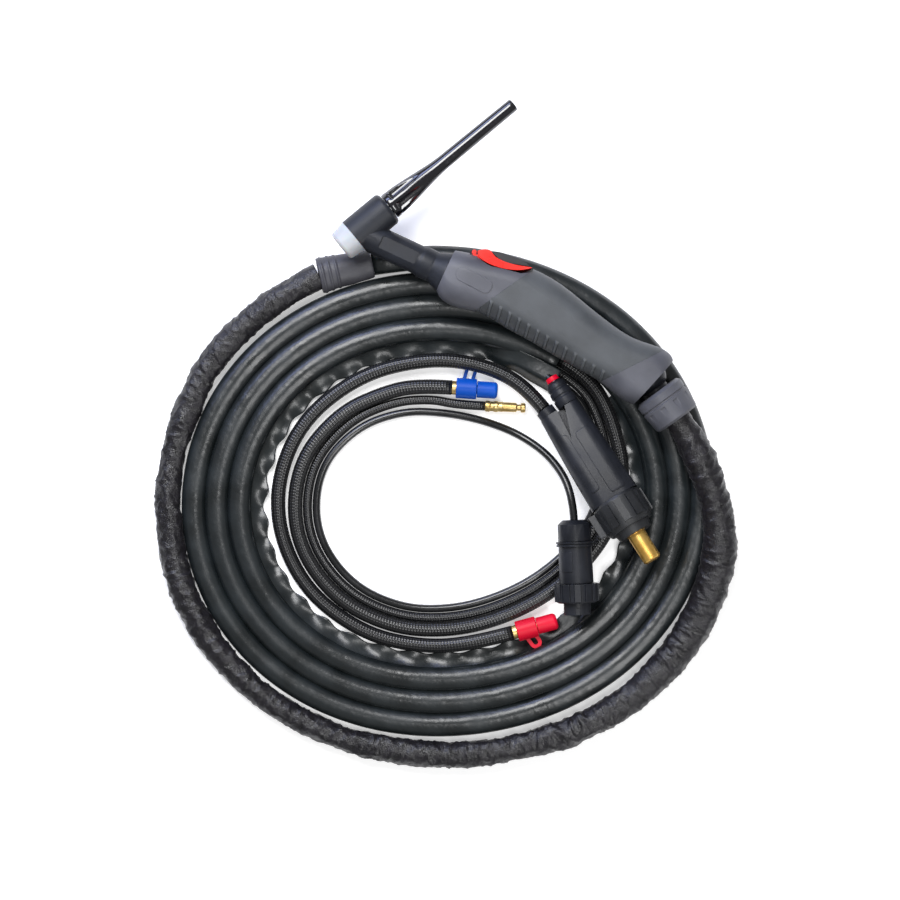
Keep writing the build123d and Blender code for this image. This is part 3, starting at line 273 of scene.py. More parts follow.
# %% Finish: turned metals
def turned(name, dark, light, roughness):
    """Turned bright metal with fine tool marks and a little tarnish."""
    material, tree, shader = finish(name, Metallic=1.0)
    place = add(tree, "TexCoord").outputs["Object"]
    tarnish = add(tree, "TexNoise", {"Vector": place, "Scale": 160.0, "Detail": 4.0}).outputs["Fac"]
    marks = add(tree, "TexNoise", {"Vector": place, "Scale": 2500.0, "Detail": 1.0}).outputs["Fac"]
    tree.links.new(fade(tree, tarnish, [(0.35, linear(dark)), (0.6, linear(light))]),
                   shader.inputs["Base Color"])
    polish = add(tree, "MapRange", {"Value": marks, "To Min": roughness - 0.06,
                                    "To Max": roughness + 0.08})
    tree.links.new(polish.outputs["Result"], shader.inputs["Roughness"])
    return material


pin_brass = turned("turned brass current pin", "#d3a350", "#e6bd6c", 0.36)
fitting_brass = turned("turned brass fittings", "#b4965a", "#cdb47c", 0.36)
plated_steel = turned("zinc-plated steel", "#8f9094", "#b4b5b8", 0.3)
print("metals:", pin_brass.name, fitting_brass.name, plated_steel.name)

# %% [markdown]
# The front cover of the lead is garment leather, dyed nearly black with a violet cast and buffed to a
# low sheen.  Its grain is a net of pores and creases about a millimetre apart.  Cells of a Voronoi
# pattern give the pores, and a broader noise gives the creases; both tilt the surface, and the
# crease noise also paints the raised folds a little paler, as a painted highlight.

# %% Finish: leather
PORE_PITCH = 1.3
CREASE_PITCH = 5.5
leather, tree, shader = finish("buffed garment leather", Specular_IOR_Level=0.45, Sheen_Weight=0.05,
                               Sheen_Roughness=0.4)
place = add(tree, "TexCoord").outputs["Object"]
pores = add(tree, "TexVoronoi", {"Vector": place, "Scale": 1 / (PORE_PITCH * MM)},
            feature="DISTANCE_TO_EDGE")
creases = add(tree, "TexNoise", {"Vector": place, "Scale": 1 / (CREASE_PITCH * MM), "Detail": 6.0,
                                 "Roughness": 0.65}).outputs["Fac"]
depth = add(tree, "MixRGB", {"Fac": 0.6, "Color1": pores.outputs["Distance"], "Color2": creases})
bump = add(tree, "Bump", {"Height": depth.outputs["Color"], "Strength": 0.9, "Distance": 0.9 * MM})
polish = add(tree, "MapRange", {"Value": creases, "From Min": 0.3, "From Max": 0.7,
                                "To Min": 0.26, "To Max": 0.46})
# Painted highlight: the raised folds of the crease noise get the paler base colour.
tree.links.new(fade(tree, creases, [(0.35, linear("#060508")), (0.7, linear("#151219"))]),
               shader.inputs["Base Color"])
tree.links.new(polish.outputs["Result"], shader.inputs["Roughness"])
tree.links.new(bump.outputs["Normal"], shader.inputs["Normal"])

# %% [markdown]
# The water and gas hoses wear a braid of black monofilament that glints where a strand turns over the
# crown of the hose.  The tube's own map runs along the hose and round it, so two families of slanted
# stripes laid over each other give the braid at any bend.  Strands of real thickness would be made
# as thousands of thin curves, which this finish stands in for.


# %% Finish: braided hose
def braided(name, strand_mm, around):
    """Braided sleeving; the map's U is the length in metres and its V goes once round."""
    material, tree, shader = finish(name, Specular_IOR_Level=0.45, Coat_Weight=0.2, Coat_Roughness=0.12)
    flat = add(tree, "SeparateXYZ", {"Vector": add(tree, "UVMap").outputs["UV"]})
    length = add(tree, "Math", {0: flat.outputs["X"], 1: 1 / (strand_mm * MM)}, operation="MULTIPLY")
    turn = add(tree, "Math", {0: flat.outputs["Y"], 1: around}, operation="MULTIPLY")
    waves = []
    for way in ("ADD", "SUBTRACT"):
        slant = add(tree, "Math", {0: length.outputs[0], 1: turn.outputs[0]}, operation=way)
        phase = add(tree, "Math", {0: slant.outputs[0], 1: 2 * math.pi}, operation="MULTIPLY")
        waves.append(add(tree, "Math", {0: phase.outputs[0]}, operation="SINE").outputs[0])
    weave = add(tree, "Math", {0: waves[0], 1: waves[1]}, operation="MULTIPLY").outputs[0]
    bump = add(tree, "Bump", {"Height": weave, "Strength": 1.0, "Distance": 0.13 * MM})
    for socket in ("Normal", "Coat Normal"):
        tree.links.new(bump.outputs["Normal"], shader.inputs[socket])
    # Painted sheen: the strand crowns get a paler base colour than the valleys between them.
    tree.links.new(fade(tree, weave, [(0.0, linear("#010102")), (0.95, linear("#15161a"))]),
                   shader.inputs["Base Color"])
    polish = add(tree, "MapRange", {"Value": weave, "From Min": -0.6, "To Min": 0.6, "To Max": 0.16})
    tree.links.new(polish.outputs["Result"], shader.inputs["Roughness"])
    return material


water_braid = braided("braided water hose", 4.2, 8.0)
gas_braid = braided("braided gas hose", 3.6, 6.0)
print("braids:", water_braid.name, gas_braid.name)

# %% [markdown]
# ## Rigid pieces
#
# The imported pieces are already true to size, but their meshes are loose triangles with razor-sharp
# edges, and no real moulding or turning has those.  Each piece is therefore dressed as a copy: the
# triangles are welded and flat ones joined, smooth stretches are shaded smooth, and the sharp edges
# get a small rounding that catches the light.


# %% Rigid pieces: helper
def dressed(node, material, body, round_mm=0.25, crease=38):
    """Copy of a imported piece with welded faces, rounded edges and a finish."""
    mesh = bpy.data.objects[node].data.copy()
    mesh.name = "dressed_" + node
    shape = bmesh.new()
    shape.from_mesh(mesh)
    bmesh.ops.remove_doubles(shape, verts=shape.verts, dist=0.002 * MM)
    bmesh.ops.dissolve_limit(shape, angle_limit=math.radians(0.8), verts=shape.verts,
                             edges=shape.edges)
    shade_smooth(shape, crease)
    shape.to_mesh(mesh)
    shape.free()
    piece = bpy.data.objects.new("dressed_" + node, mesh)
    bpy.context.scene.collection.objects.link(piece)
    mesh.materials.clear()
    mesh.materials.append(material)
    if round_mm:
        rounding = piece.modifiers.new("rounding", "BEVEL")
        rounding.width = round_mm * MM
        rounding.segments = 2
        rounding.angle_limit = math.radians(crease)
        evened = piece.modifiers.new("evened normals", "WEIGHTED_NORMAL")
        evened.keep_sharp = True
    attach(piece, body)
    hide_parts(node)
    return piece


# %% Rigid pieces of the torch
finishes = {
    "torch": {
        "nose_insulator": insulator_ptfe, "torch_body": fitting_brass, "neck_tubes": fitting_brass,
        "head_cover": head_rubber, "handle_half_upper": handle_abs, "handle_half_lower": handle_abs,
        "grip": grip_tpe, "handle_screws": plated_steel, "trigger_pin": plated_steel,
        "microswitch": insert_pps,
    },
    "trigger": {"trigger": trigger_abs, "trigger_pad": pad_tpe},
    "plunger": {"switch_plunger": insert_pps},
    "seal": {"cap_seal": seal_rubber},
    "knuckle": {"knuckle_liner": plug_nylon},
    "ring_nut": {"ring_nut": handle_abs},
    "cable_nut": {"power_cable_nut": plug_nylon},
    "gland_nut": {"control_gland_nut": plug_nylon},
    "coupling_ring": {"control_coupling_ring": plug_nylon},
    "red_cap": {"return_cap": red_pvc},
    "lead": {
        "knuckle_ball": plug_nylon, "power_cable": cable_pvc,
        "power_plug_body": plug_nylon, "power_plug_ring": ring_rubber, "power_pin": pin_brass,
        "control_plug_body": plug_nylon, "control_insert": insert_pps, "control_pins": fitting_brass,
        "water_in_ferrule": fitting_brass, "water_in_nipple": fitting_brass,
        "water_in_cap_collar": blue_pvc, "water_in_cap": blue_pvc, "return_ferrule": fitting_brass,
        "return_nipple": fitting_brass, "return_cap_collar": red_pvc, "gas_ferrule": fitting_brass,
        "gas_nipple": fitting_brass,
    },
}
sharp = {"neck_tubes", "torch_body", "knuckle_liner", "control_pins", "switch_plunger", "cap_seal"}
rigid = {}
for body, pieces in finishes.items():
    for node, material in pieces.items():
        rigid[node] = dressed(node, material, body, round_mm=0 if node in sharp else 0.25)
print("rigid pieces dressed:", len(rigid))

# %% [markdown]
# The gloss of the back cap shows every facet, so it is spun afresh as a finer mesh instead of being
# copied.  Its outline is turned round the axis, and six finger flutes are then pressed into the thick
# end.  Each flute is a round-nosed cutter's path, met by the body in a slightly softened edge, and it
# runs out by itself where the cap tapers below it.

# %% Back cap: outline
CAP_START = 43.8
CAP_LENGTH = 112.4
CAP_BASE_R = 9.8
CAP_STEM_R = 5.2
CAP_TIP_R = 4.7
CAP_TAPER = 52
SHANK_START = 31.3
SHANK_R = 5.9
CAP_BORE_R = 1.8
CAP_END_WALL = 6
STEM_STEPS = 20
cap_end = CAP_START + CAP_LENGTH
stem_start, stem_length = CAP_START + CAP_TAPER, CAP_LENGTH - CAP_TAPER - 1
outline = [(0, cap_end - CAP_END_WALL), (CAP_BORE_R, cap_end - CAP_END_WALL),
           (CAP_BORE_R, SHANK_START), (SHANK_R, SHANK_START), (SHANK_R, CAP_START),
           (CAP_BASE_R - 0.5, CAP_START), (CAP_BASE_R - 0.15, CAP_START + 0.5)]
for along in range(2, CAP_TAPER):
    drop = (CAP_BASE_R - CAP_STEM_R) * smooth_step((along - 3) / (CAP_TAPER - 4))
    outline.append((CAP_BASE_R - drop, CAP_START + along))
for step in range(STEM_STEPS + 1):
    share = step / STEM_STEPS
    outline.append((CAP_STEM_R - (CAP_STEM_R - CAP_TIP_R) * share, stem_start + stem_length * share))
outline += [(CAP_TIP_R - 0.3, cap_end - 0.3), (CAP_TIP_R - 0.9, cap_end), (0, cap_end)]
print("back cap outline:", len(outline), "points, to", round(cap_end, 1), "mm")

# %% Back cap: spin and flutes
CAP_FLUTES = 6
FLUTE_R = 3.6
FLUTE_CENTRE = 10.8
FLUTE_START = 3.5
FLUTE_RUN_IN = 3.0
FLUTE_EDGE = 0.06
shape = bmesh.new()
rim = [shape.verts.new((radius, 0, along)) for radius, along in outline]
edges = [shape.edges.new(pair) for pair in zip(rim, rim[1:])]
bmesh.ops.spin(shape, geom=rim + edges, cent=(0, 0, 0), axis=(0, 0, 1), angle=2 * math.pi, steps=144,
               use_merge=True)
bmesh.ops.remove_doubles(shape, verts=shape.verts, dist=0.01)
bmesh.ops.recalc_face_normals(shape, faces=shape.faces)
for vertex in shape.verts:
    radius = math.hypot(vertex.co.x, vertex.co.y)
    if radius < SHANK_R + 0.1:
        continue
    turn = math.atan2(vertex.co.y, vertex.co.x) * CAP_FLUTES / (2 * math.pi)
    across = (turn - round(turn)) * 2 * math.pi / CAP_FLUTES
    side = FLUTE_CENTRE * math.sin(across)
    cut = FLUTE_CENTRE * math.cos(across) - math.sqrt(max(0.0, FLUTE_R ** 2 - side ** 2))
    gap = radius - cut
    started = smooth_step((vertex.co.z - CAP_START - FLUTE_START) / FLUTE_RUN_IN)
    depth = (gap + math.sqrt(gap * gap + FLUTE_EDGE)) / 2 * started
    vertex.co.xy *= 1 - depth * (abs(side) < FLUTE_R) / radius
bmesh.ops.transform(shape, matrix=place_on(Vector((0, 0, 0)), heading_vector(HEAD_HEADING)),
                    verts=shape.verts)
shade_smooth(shape, 50)
back_cap = piece_from(shape, "back_cap_spun", cap_phenolic)
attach(back_cap, "back_cap")
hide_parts("back_cap")
print("back cap:", len(back_cap.data.polygons), "faces")

# %% [markdown]
# Raised name plates and panels follow the surface that they are moulded on.  Each is a rounded
# rectangle of fine squares dropped onto its carrier along one direction, then given a thickness, so
# it bends as the carrier does, where a flat block would stand off a curved wall.  They stay blank.


# %% Plates: helper
def laid_plate(name, carrier, material, body, origin, along, down, size, corner, thick):
    """Blank rounded plate pressed onto a carrier piece, seen along the direction down."""
    across = down.cross(along).normalized()
    surface = BVHTree.FromObject(carrier, bpy.context.evaluated_depsgraph_get())
    half_long, half_wide = size[0] / 2, size[1] / 2
    sunk = 0.05
    shape = bmesh.new()
    bmesh.ops.create_grid(shape, x_segments=36, y_segments=14, size=1.0)
    for vertex in shape.verts:
        aside = vertex.co.y * half_wide
        over = max(0.0, abs(aside) - (half_wide - corner)) / corner
        reach = half_long - corner + corner * math.sqrt(max(0.0, 1 - over * over))
        start = (origin + along * vertex.co.x * reach + across * aside - down * 40) * MM
        hit, normal = surface.ray_cast(start, down)[:2]
        vertex.co = hit + normal * (thick / 2 - sunk) * MM
    bmesh.ops.recalc_face_normals(shape, faces=shape.faces)
    shade_smooth(shape)
    plate = piece_from(shape, name, material)
    wall = plate.modifiers.new("wall", "SOLIDIFY")
    wall.thickness = thick * MM
    wall.offset = 0
    softened = plate.modifiers.new("rounding", "BEVEL")
    softened.width = 0.15 * MM
    softened.segments = 2
    softened.angle_limit = math.radians(50)
    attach(plate, body)
    return plate


# %% Plates on the torch and on the plugs
POWER_ROOT = Vector((270.7, -94.0, 3.2))
power_way = heading_vector(POWER_HEADING, 10.3)
power_left = Vector((-power_way.y, power_way.x, 0)).normalized()
power_up = power_way.cross(power_left)
CONTROL_BACK = Vector((228.1, -103.7, -6.9))
control_way = heading_vector(-62.9)
control_left = Vector((-control_way.y, control_way.x, 0))
DOWN = Vector((0, 0, -1))
plates = [
    laid_plate("blank_label", rigid["handle_half_upper"], handle_abs, "torch",
               origin=Vector((94.4, 17.3, 20)), along=heading_vector(-2.4), down=DOWN,
               size=(27, 10), corner=4.6, thick=0.5),
    laid_plate("power_plug_panel", rigid["power_plug_body"], plug_nylon, "lead",
               origin=POWER_ROOT - power_way * 56.5 + power_left * 5.8 + power_up * 15,
               along=power_way, down=-power_up, size=(50, 11.5), corner=2.6, thick=0.7),
    laid_plate("power_plug_side_panel", rigid["power_plug_body"], plug_nylon, "lead",
               origin=POWER_ROOT - power_way * 61 - power_left * 8.6 + power_up * 15,
               along=power_way, down=-power_up, size=(46, 7.0), corner=2.2, thick=0.6),
    laid_plate("control_plug_panel", rigid["control_plug_body"], plug_nylon, "lead",
               origin=CONTROL_BACK + control_way * 28.9 - control_left * 6.4,
               along=control_way, down=DOWN, size=(14, 7.5), corner=0.9, thick=0.6),
]
print("plates laid:", len(plates))

# %% [markdown]
# A short red sleeve marks the current cable where it enters the plug.  It is a plain cylinder with
# its rims rounded, made on the cable's axis.

# %% Marker sleeve on the current cable
MARKER_R = 4.8
MARKER_LENGTH = 3.6
MARKER_FROM_MOUTH = 21.4
cable_mouth = place_on(POWER_ROOT - power_way * 102.2 + power_left * 7.6, -power_way)
shape = bmesh.new()
bmesh.ops.create_cone(shape, cap_ends=True, segments=40, radius1=MARKER_R, radius2=MARKER_R,
                      depth=MARKER_LENGTH,
                      matrix=cable_mouth @ Matrix.Translation((0, 0, MARKER_FROM_MOUTH)))
bmesh.ops.bevel(shape, geom=[e for e in shape.edges if e.calc_face_angle(0) > 1], offset=0.4 * MM,
                segments=3, affect="EDGES", profile=0.5)
shade_smooth(shape)
marker = piece_from(shape, "marker_sleeve", red_pvc)
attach(marker, "lead")
print("marker sleeve:", len(marker.data.polygons), "faces")

# %% [markdown]
# ## The lead
#
# A hose or cable keeps its length and bends smoothly, so each is laid along one NURBS line whose
# control points are listed.  The line is swept to a tube as a curve with a round bevel; the
# mesh of that tube has one ring of points for each point of the line, which makes it easy to give it
# a map of length by turn, and to dent or crumple it later.


# %% Lead: helpers
def smooth_line(name, points, steps):
    """Curve with one open NURBS spline through the control points, in metres."""
    curve = bpy.data.curves.new(name, "CURVE")
    curve.dimensions = "3D"
    curve.resolution_u = steps
    spline = curve.splines.new("NURBS")
    spline.points.add(len(points) - 1)
    for knot, spot in zip(spline.points, points):
        knot.co = (*(spot * MM), 1)
    spline.order_u = 3
    spline.use_endpoint_u = True
    return bpy.data.objects.new(name, curve)


def tube(name, points, radius, material, steps=8, roundness=5):
    """Round tube along a smooth line; returns the piece, its line and the length at each point."""
    laid = smooth_line(name, points, steps)
    line = [v.co.copy() for v in bpy.data.meshes.new_from_object(laid).vertices]
    reach = [0.0]
    for here, ahead in zip(line, line[1:]):
        reach.append(reach[-1] + (ahead - here).length)
    laid.data.bevel_depth = radius * MM
    laid.data.bevel_resolution = roundness
    mesh = bpy.data.meshes.new_from_object(laid)
    sides = len(mesh.vertices) // len(line)
    shape = bmesh.new()
    shape.from_mesh(mesh)
    bmesh.ops.holes_fill(shape, edges=[e for e in shape.edges if e.is_boundary], sides=0)
    flat = shape.loops.layers.uv.verify()
    for face in shape.faces:
        face.smooth = len(face.verts) == 4
        turns = [loop.vert.index % sides for loop in face.loops]
        for loop, turn in zip(face.loops, turns):
            if len(face.verts) == 4 and turn == 0 and max(turns) == sides - 1:
                turn = sides
            loop[flat].uv = (reach[loop.vert.index // sides], turn / sides)
    shape.to_mesh(mesh)
    shape.free()
    mesh.name = name
    mesh.materials.clear()
    mesh.materials.append(material)
    piece = bpy.data.objects.new(name, mesh)
    bpy.context.scene.collection.objects.link(piece)
    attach(piece, "lead")
    print(f"{name}: {reach[-1]:.3f} m in {len(line)} rings of {sides}")
    return piece, line, reach


def lengthwise(line, step):
    """Direction of the line at one of its points."""
    return (line[min(step + 1, len(line) - 1)] - line[max(step - 1, 0)]).normalized()


def each_ring(piece, line, reach):
    """Each ring of a tube: its step, its centre, its share of the length, and its points."""
    sides = len(piece.data.vertices) // len(line)
    for step, centre in enumerate(line):
        points = piece.data.vertices[step * sides:(step + 1) * sides]
        yield step, centre, reach[step] / reach[-1], points


# %% [markdown]
# The rubber sleeve goes round a little over three times, each turn just inside the last.  Its centre
# is a spiral whose circle is slightly oval and off centre, as a hand-wound coil is.  A control
# point every ten degrees gives the spline enough to follow it, set a hair outwards because a spline
# of this order cuts its corners.  The tube is then pressed a little flat, as a sleeve over a bundle is.

# %% Lead: rubber sleeve
SLEEVE_R = 7.2
SLEEVE_HALF_WIDTH = 8.5
SLEEVE_HALF_HEIGHT = 7.1
SLEEVE_START = 226.5
SLEEVE_SWEEP = 1135.5
SLEEVE_STEPS = 114
COIL_R = 178.2
COIL_PITCH = 16.0
COIL_OVAL = 10.2
COIL_SHIFT = 7.7
corner_cut = 0.75 + 0.25 * math.cos(math.radians(SLEEVE_SWEEP / SLEEVE_STEPS))


def sleeve_radius(turned):
    """Radius of the sleeve's centre, turned degrees from where it starts."""
    bearing = SLEEVE_START + turned
    oval = COIL_OVAL * math.cos(math.radians(2 * (bearing + 28.9)))
    shift = COIL_SHIFT * math.cos(math.radians(bearing - 178.2))
    lead_in = 3.5 * max(0.0, 1 - turned / 90) ** 2
    return COIL_R - COIL_PITCH * turned / 360 + oval + shift + lead_in


sleeve_route = []
for step in range(SLEEVE_STEPS + 1):
    turned = SLEEVE_SWEEP * step / SLEEVE_STEPS
    inner = 0 < step < SLEEVE_STEPS
    radius = sleeve_radius(turned) / (corner_cut if inner else 1)
    sleeve_route.append(ring_point(SLEEVE_START + turned, radius, SLEEVE_R))
sleeve, sleeve_line, sleeve_reach = tube("rubber_sleeve_laid", sleeve_route, SLEEVE_HALF_WIDTH,
                                         sleeve_rubber, 6, 6)
for vertex in sleeve.data.vertices:
    above = vertex.co.z - (FLOOR + SLEEVE_R) * MM
    vertex.co.z -= above * (1 - SLEEVE_HALF_HEIGHT / SLEEVE_HALF_WIDTH)
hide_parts("rubber_sleeve")
end_heading = lengthwise(sleeve_line, len(sleeve_line) - 1)
end_inward = Vector((end_heading.y, -end_heading.x, 0))


def end_point(inset, height):
    """Point in the plane that the sleeve ends in, inset towards the centre of the coil."""
    middle = ring_point(SLEEVE_START + SLEEVE_SWEEP, sleeve_radius(SLEEVE_SWEEP), height)
    return middle + end_inward * inset


# %% [markdown]
# The water, gas and switch lines leave the end of the sleeve side by side and run once round inside
# the coil, touching.  Their routes are lists of bearings and radii, with the height of each point
# where it isn't simply lying on the floor.

# %% Lead: the lines inside the coil
WATER_R = 5.2
GAS_R = 3.3
SWITCH_R = 2.8
WATER_LIE, GAS_LIE, SWITCH_LIE = 5.1, 3.2, 2.8
WATER_END = Vector((111.4, -55.5, FLOOR + 7.6))
GAS_END = Vector((138.0, -57.4, FLOOR + 4.9))
RETURN_END = Vector((223.2, -194.0, FLOOR + 10.7))
water_way, gas_way, return_way = heading_vector(21.1), heading_vector(22.2), heading_vector(40.3)


def inner_route(inset, lying, around):
    """Straight out of the sleeve, then round the coil by bearing, radius and, if raised, height."""
    start = end_point(inset, lying)
    route = [start, start + end_heading * 22]
    for bearing, radius, *height in around:
        route.append(ring_point(bearing, radius, *(height or [lying])))
    return route


water_route = inner_route(-2.2, WATER_LIE, [
    (306, 128.6), (328, 124.2), (350, 110.5), (374, 96.4), (399, 89.4), (425, 90.6), (451, 98.2),
    (477, 107.9), (503, 114.7), (529, 112.8), (553, 102.0), (573, 91.5),
]) + [WATER_END - water_way * 24, WATER_END]
gas_route = inner_route(6.2, GAS_LIE, [
    (306, 120.0), (328, 115.4), (350, 101.6), (374, 87.7), (399, 80.8), (425, 82.0), (451, 89.6),
    (477, 99.2), (503, 105.9), (529, 104.0), (553, 93.4), (575, 82.5), (594, 74.6, 4.0),
]) + [GAS_END - gas_way * 20, GAS_END]
switch_route = inner_route(12.6, SWITCH_LIE, [
    (306, 113.4), (328, 108.7), (350, 95.0), (374, 81.1), (399, 74.2), (425, 75.4), (451, 83.0),
    (477, 92.6), (503, 99.3), (529, 97.4), (553, 86.4), (577, 73.6), (602, 63.6), (627, 62.4),
    (651, 68.6), (672, 78.0, 14.0),
]) + [CONTROL_BACK - control_way * 18, CONTROL_BACK + control_way * 4]
water, water_line, reach = tube("water_in_hose_laid", water_route, WATER_R, water_braid)
gas, gas_line, reach = tube("gas_hose_laid", gas_route, GAS_R, gas_braid)
switch, switch_line, reach = tube("switch_cable_laid", switch_route, SWITCH_R, cable_pvc)

# %% [markdown]
# The return hose is the odd one out: it leaves the side branch of the current plug, passes over the
# tether of the blue cap in a low hump, and runs the other way round to its red cap.

# %% Lead: return hose
port_way = heading_vector(POWER_HEADING + 186, -9)
port_mouth = POWER_ROOT - power_way * 99.2 - power_left * 7.6 + port_way * 9.0
return_route = [port_mouth, port_mouth + port_way * 22]
return_route += [ring_point(*spot) for spot in (
    (258, 100.0, 8.7), (236, 103.4, 8.7), (209, 112.0, 5.1), (181, 123.2, 5.1), (154, 127.4, 5.1),
    (127, 122.6, 5.1), (100, 112.6, 5.1), (76, 104.2, 5.1))]
return_route += [RETURN_END - return_way * 28, RETURN_END]
back, back_line, reach = tube("return_hose_laid", return_route, WATER_R, water_braid)

# %% [markdown]
# The leather cover starts as a plain tube and is crumpled ring by ring.  Leather sewn into a tube
# and bent has three scales of relief: the whole section goes slack and oval, sharp creases run
# slantwise across it, and between them the surface puckers.  It also has a sewn seam along the
# inside of the bend, which is not drawn.  The creases come from noise folded at zero, which leaves
# sharp valleys.

# %% Lead: leather cover
LEATHER_R = 9.0
SLACK_PITCH, SLACK_RISE = 34.0, 1.5
FOLD_PITCH, FOLD_RISE = 15.0, 1.7
WRINKLE_PITCH, WRINKLE_RISE = 7.0, 0.8
PUCKER_PITCH, PUCKER_RISE = 3.4, 0.3
KNUCKLE = Vector((231.5, 8.1, 0))
lead_way = heading_vector(-29.0)
leather_start = KNUCKLE + lead_way * 30
JOINT_START = Vector((-6.6, -23.7, FLOOR + 10.0))
joint_way = heading_vector(52.0)
leather_route = [leather_start, leather_start + lead_way * 32, ring_point(-17, 195, 19)]
leather_route += [ring_point(bearing, radius, LEATHER_R + 0.2) for bearing, radius in (
    (5, 196.0), (27, 188.5), (49, 181.0), (71, 180.5), (93, 187.0), (115, 196.5), (137, 203.5),
    (159, 204.0), (179, 200.0), (194, 195.0))]
leather_route += [JOINT_START - joint_way * 30, JOINT_START]
cover, cover_line, cover_reach = tube("leather_cover_laid", leather_route, LEATHER_R, leather, 84, 18)


def slackness(run):
    """How far the leather stands off its hoses, by the share of its length from the knuckle."""
    wide = 1.0 + 0.30 * math.exp(-((run - 0.17) / 0.12) ** 2)
    return wide - 0.05 * math.exp(-((run - 0.55) / 0.15) ** 2)


def creased(spot, pitch, seed):
    """Height of sharp ridges about a pitch apart, from 0 in the flats to 1 on a ridge."""
    folded = 1.0 - 2.2 * abs(noise.noise(spot / pitch + Vector((0, 0, seed))))
    return max(0.0, folded) ** 2


for step, centre, run, points in each_ring(cover, cover_line, cover_reach):
    fixed = min(1.0, cover_reach[step] / 0.025, (cover_reach[-1] - cover_reach[step]) / 0.02)
    way = lengthwise(cover_line, step)
    gathered = 0.5 + 0.5 * noise.noise(Vector((run * 14.0, 5.0, 0)))
    for vertex in points:
        out = (vertex.co - centre).normalized()
        spot = vertex.co / MM
        drawn = spot - way * spot.dot(way) * 0.55
        slack = noise.noise(spot / SLACK_PITCH) * SLACK_RISE
        folds = creased(drawn, FOLD_PITCH, 40.0) * FOLD_RISE * gathered
        folds += creased(spot, WRINKLE_PITCH, 11.0) * WRINKLE_RISE
        pucker = creased(spot, PUCKER_PITCH, 3.0) * PUCKER_RISE
        size = LEATHER_R * (1 + (slackness(run) - 1) * fixed) - 0.8 * fixed
        size += (slack + folds + pucker) * fixed
        spread = Vector((out.x * 1.05, out.y * 1.05, out.z * 0.93))
        vertex.co = centre + spread * size * MM
        vertex.co.z = max(vertex.co.z, (FLOOR + 0.3) * MM)
cover.data.update()
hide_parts("leather_cover")

# %% [markdown]
# Where the leather ends, a band of ribbed rubber holds it to the rubber sleeve.  It is oval, wider
# at the leather, with three ribs near that end and a little slackness along the rest.

# %% Lead: joint sleeve
JOINT_RIB = 0.55
joint_end = ring_point(SLEEVE_START, sleeve_radius(0), 8.2)
joint_route = [JOINT_START, (JOINT_START + joint_end) / 2, joint_end]
joint, joint_line, joint_reach = tube("joint_sleeve_laid", joint_route, 10.0, joint_rubber, 60, 14)
for step, centre, run, points in each_ring(joint, joint_line, joint_reach):
    rolled = min(1.0, run / 0.03, (1 - run) / 0.03) ** 0.5 * 0.6 - 0.6
    ribs = JOINT_RIB * max(0.0, math.sin(2 * math.pi * (run - 0.04) / 0.13)) * (run < 0.43)
    for vertex in points:
        out = (vertex.co - centre).normalized()
        slack = 0.5 * noise.noise(vertex.co / MM / 9.0)
        level = Vector((out.x, out.y, 0)) * (12.6 - 2.6 * run + ribs + rolled + slack)
        rise = Vector((0, 0, out.z)) * (9.4 - 1.6 * run + ribs + rolled + slack)
        vertex.co = centre + (level + rise) * MM
joint.data.update()
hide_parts("joint_sleeve")

# %% [markdown]
# The sleeve is zipped shut along a flap that lies flat on the bench inside the last turn.  A strip of
# rubber that is longer than the circle it must follow can't lie flat, so its free edge buckles into
# waves about 25 mm long.  A grid is laid along the sleeve and its free edge waved, then given
# thickness.  At its end the flap opens into the mouth that the cables leave by, and where the red cap
# is drawn off over it, it is pressed flat.

# %% Lead: flap of the sleeve
FLAP_START = 304.0
FLAP_ROOT = 4.6
FLAP_WIDTH = 14.0
FLAP_WALL = 1.8
WAVE_LENGTH = 25
HOOD_LENGTH = 62
HOOD_HEIGHT = 15.0
PRESSED_HEIGHT = 3.0
PRESSED_REACH = 13
PRESSED_EASE = 8
flap_first = next(i for i, r in enumerate(sleeve_reach)
                  if r >= sleeve_reach[-1] * (1 - FLAP_START / SLEEVE_SWEEP))
flap_length = sleeve_reach[-1] - sleeve_reach[flap_first]


def on_sleeve(run):
    """Point and direction of the sleeve's centre line, run metres from its start."""
    step = next(i for i, r in enumerate(sleeve_reach) if r >= run or i == len(sleeve_reach) - 1)
    step = max(step, 1)
    part = (run - sleeve_reach[step - 1]) / (sleeve_reach[step] - sleeve_reach[step - 1])
    return sleeve_line[step - 1].lerp(sleeve_line[step], part), lengthwise(sleeve_line, step)


def sheet_along(name, columns, rows, place):
    """Grid whose shares of length and of width are mapped to places, then given a wall."""
    shape = bmesh.new()
    bmesh.ops.create_grid(shape, x_segments=columns, y_segments=rows, size=0.5)
    for vertex in shape.verts:
        vertex.co = place(vertex.co.x + 0.5, vertex.co.y + 0.5)
    shade_smooth(shape)
    piece = piece_from(shape, name, sleeve_rubber)
    wall = piece.modifiers.new("wall", "SOLIDIFY")
    wall.thickness = FLAP_WALL * MM
    wall.offset = 0
    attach(piece, "lead")
    return piece


cap_low, cap_high = [Vector(corner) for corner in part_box("return_cap")]
CAP_TRAVEL = 8
pressed_spot = (cap_low + cap_high) / 2 + return_way * CAP_TRAVEL * MM


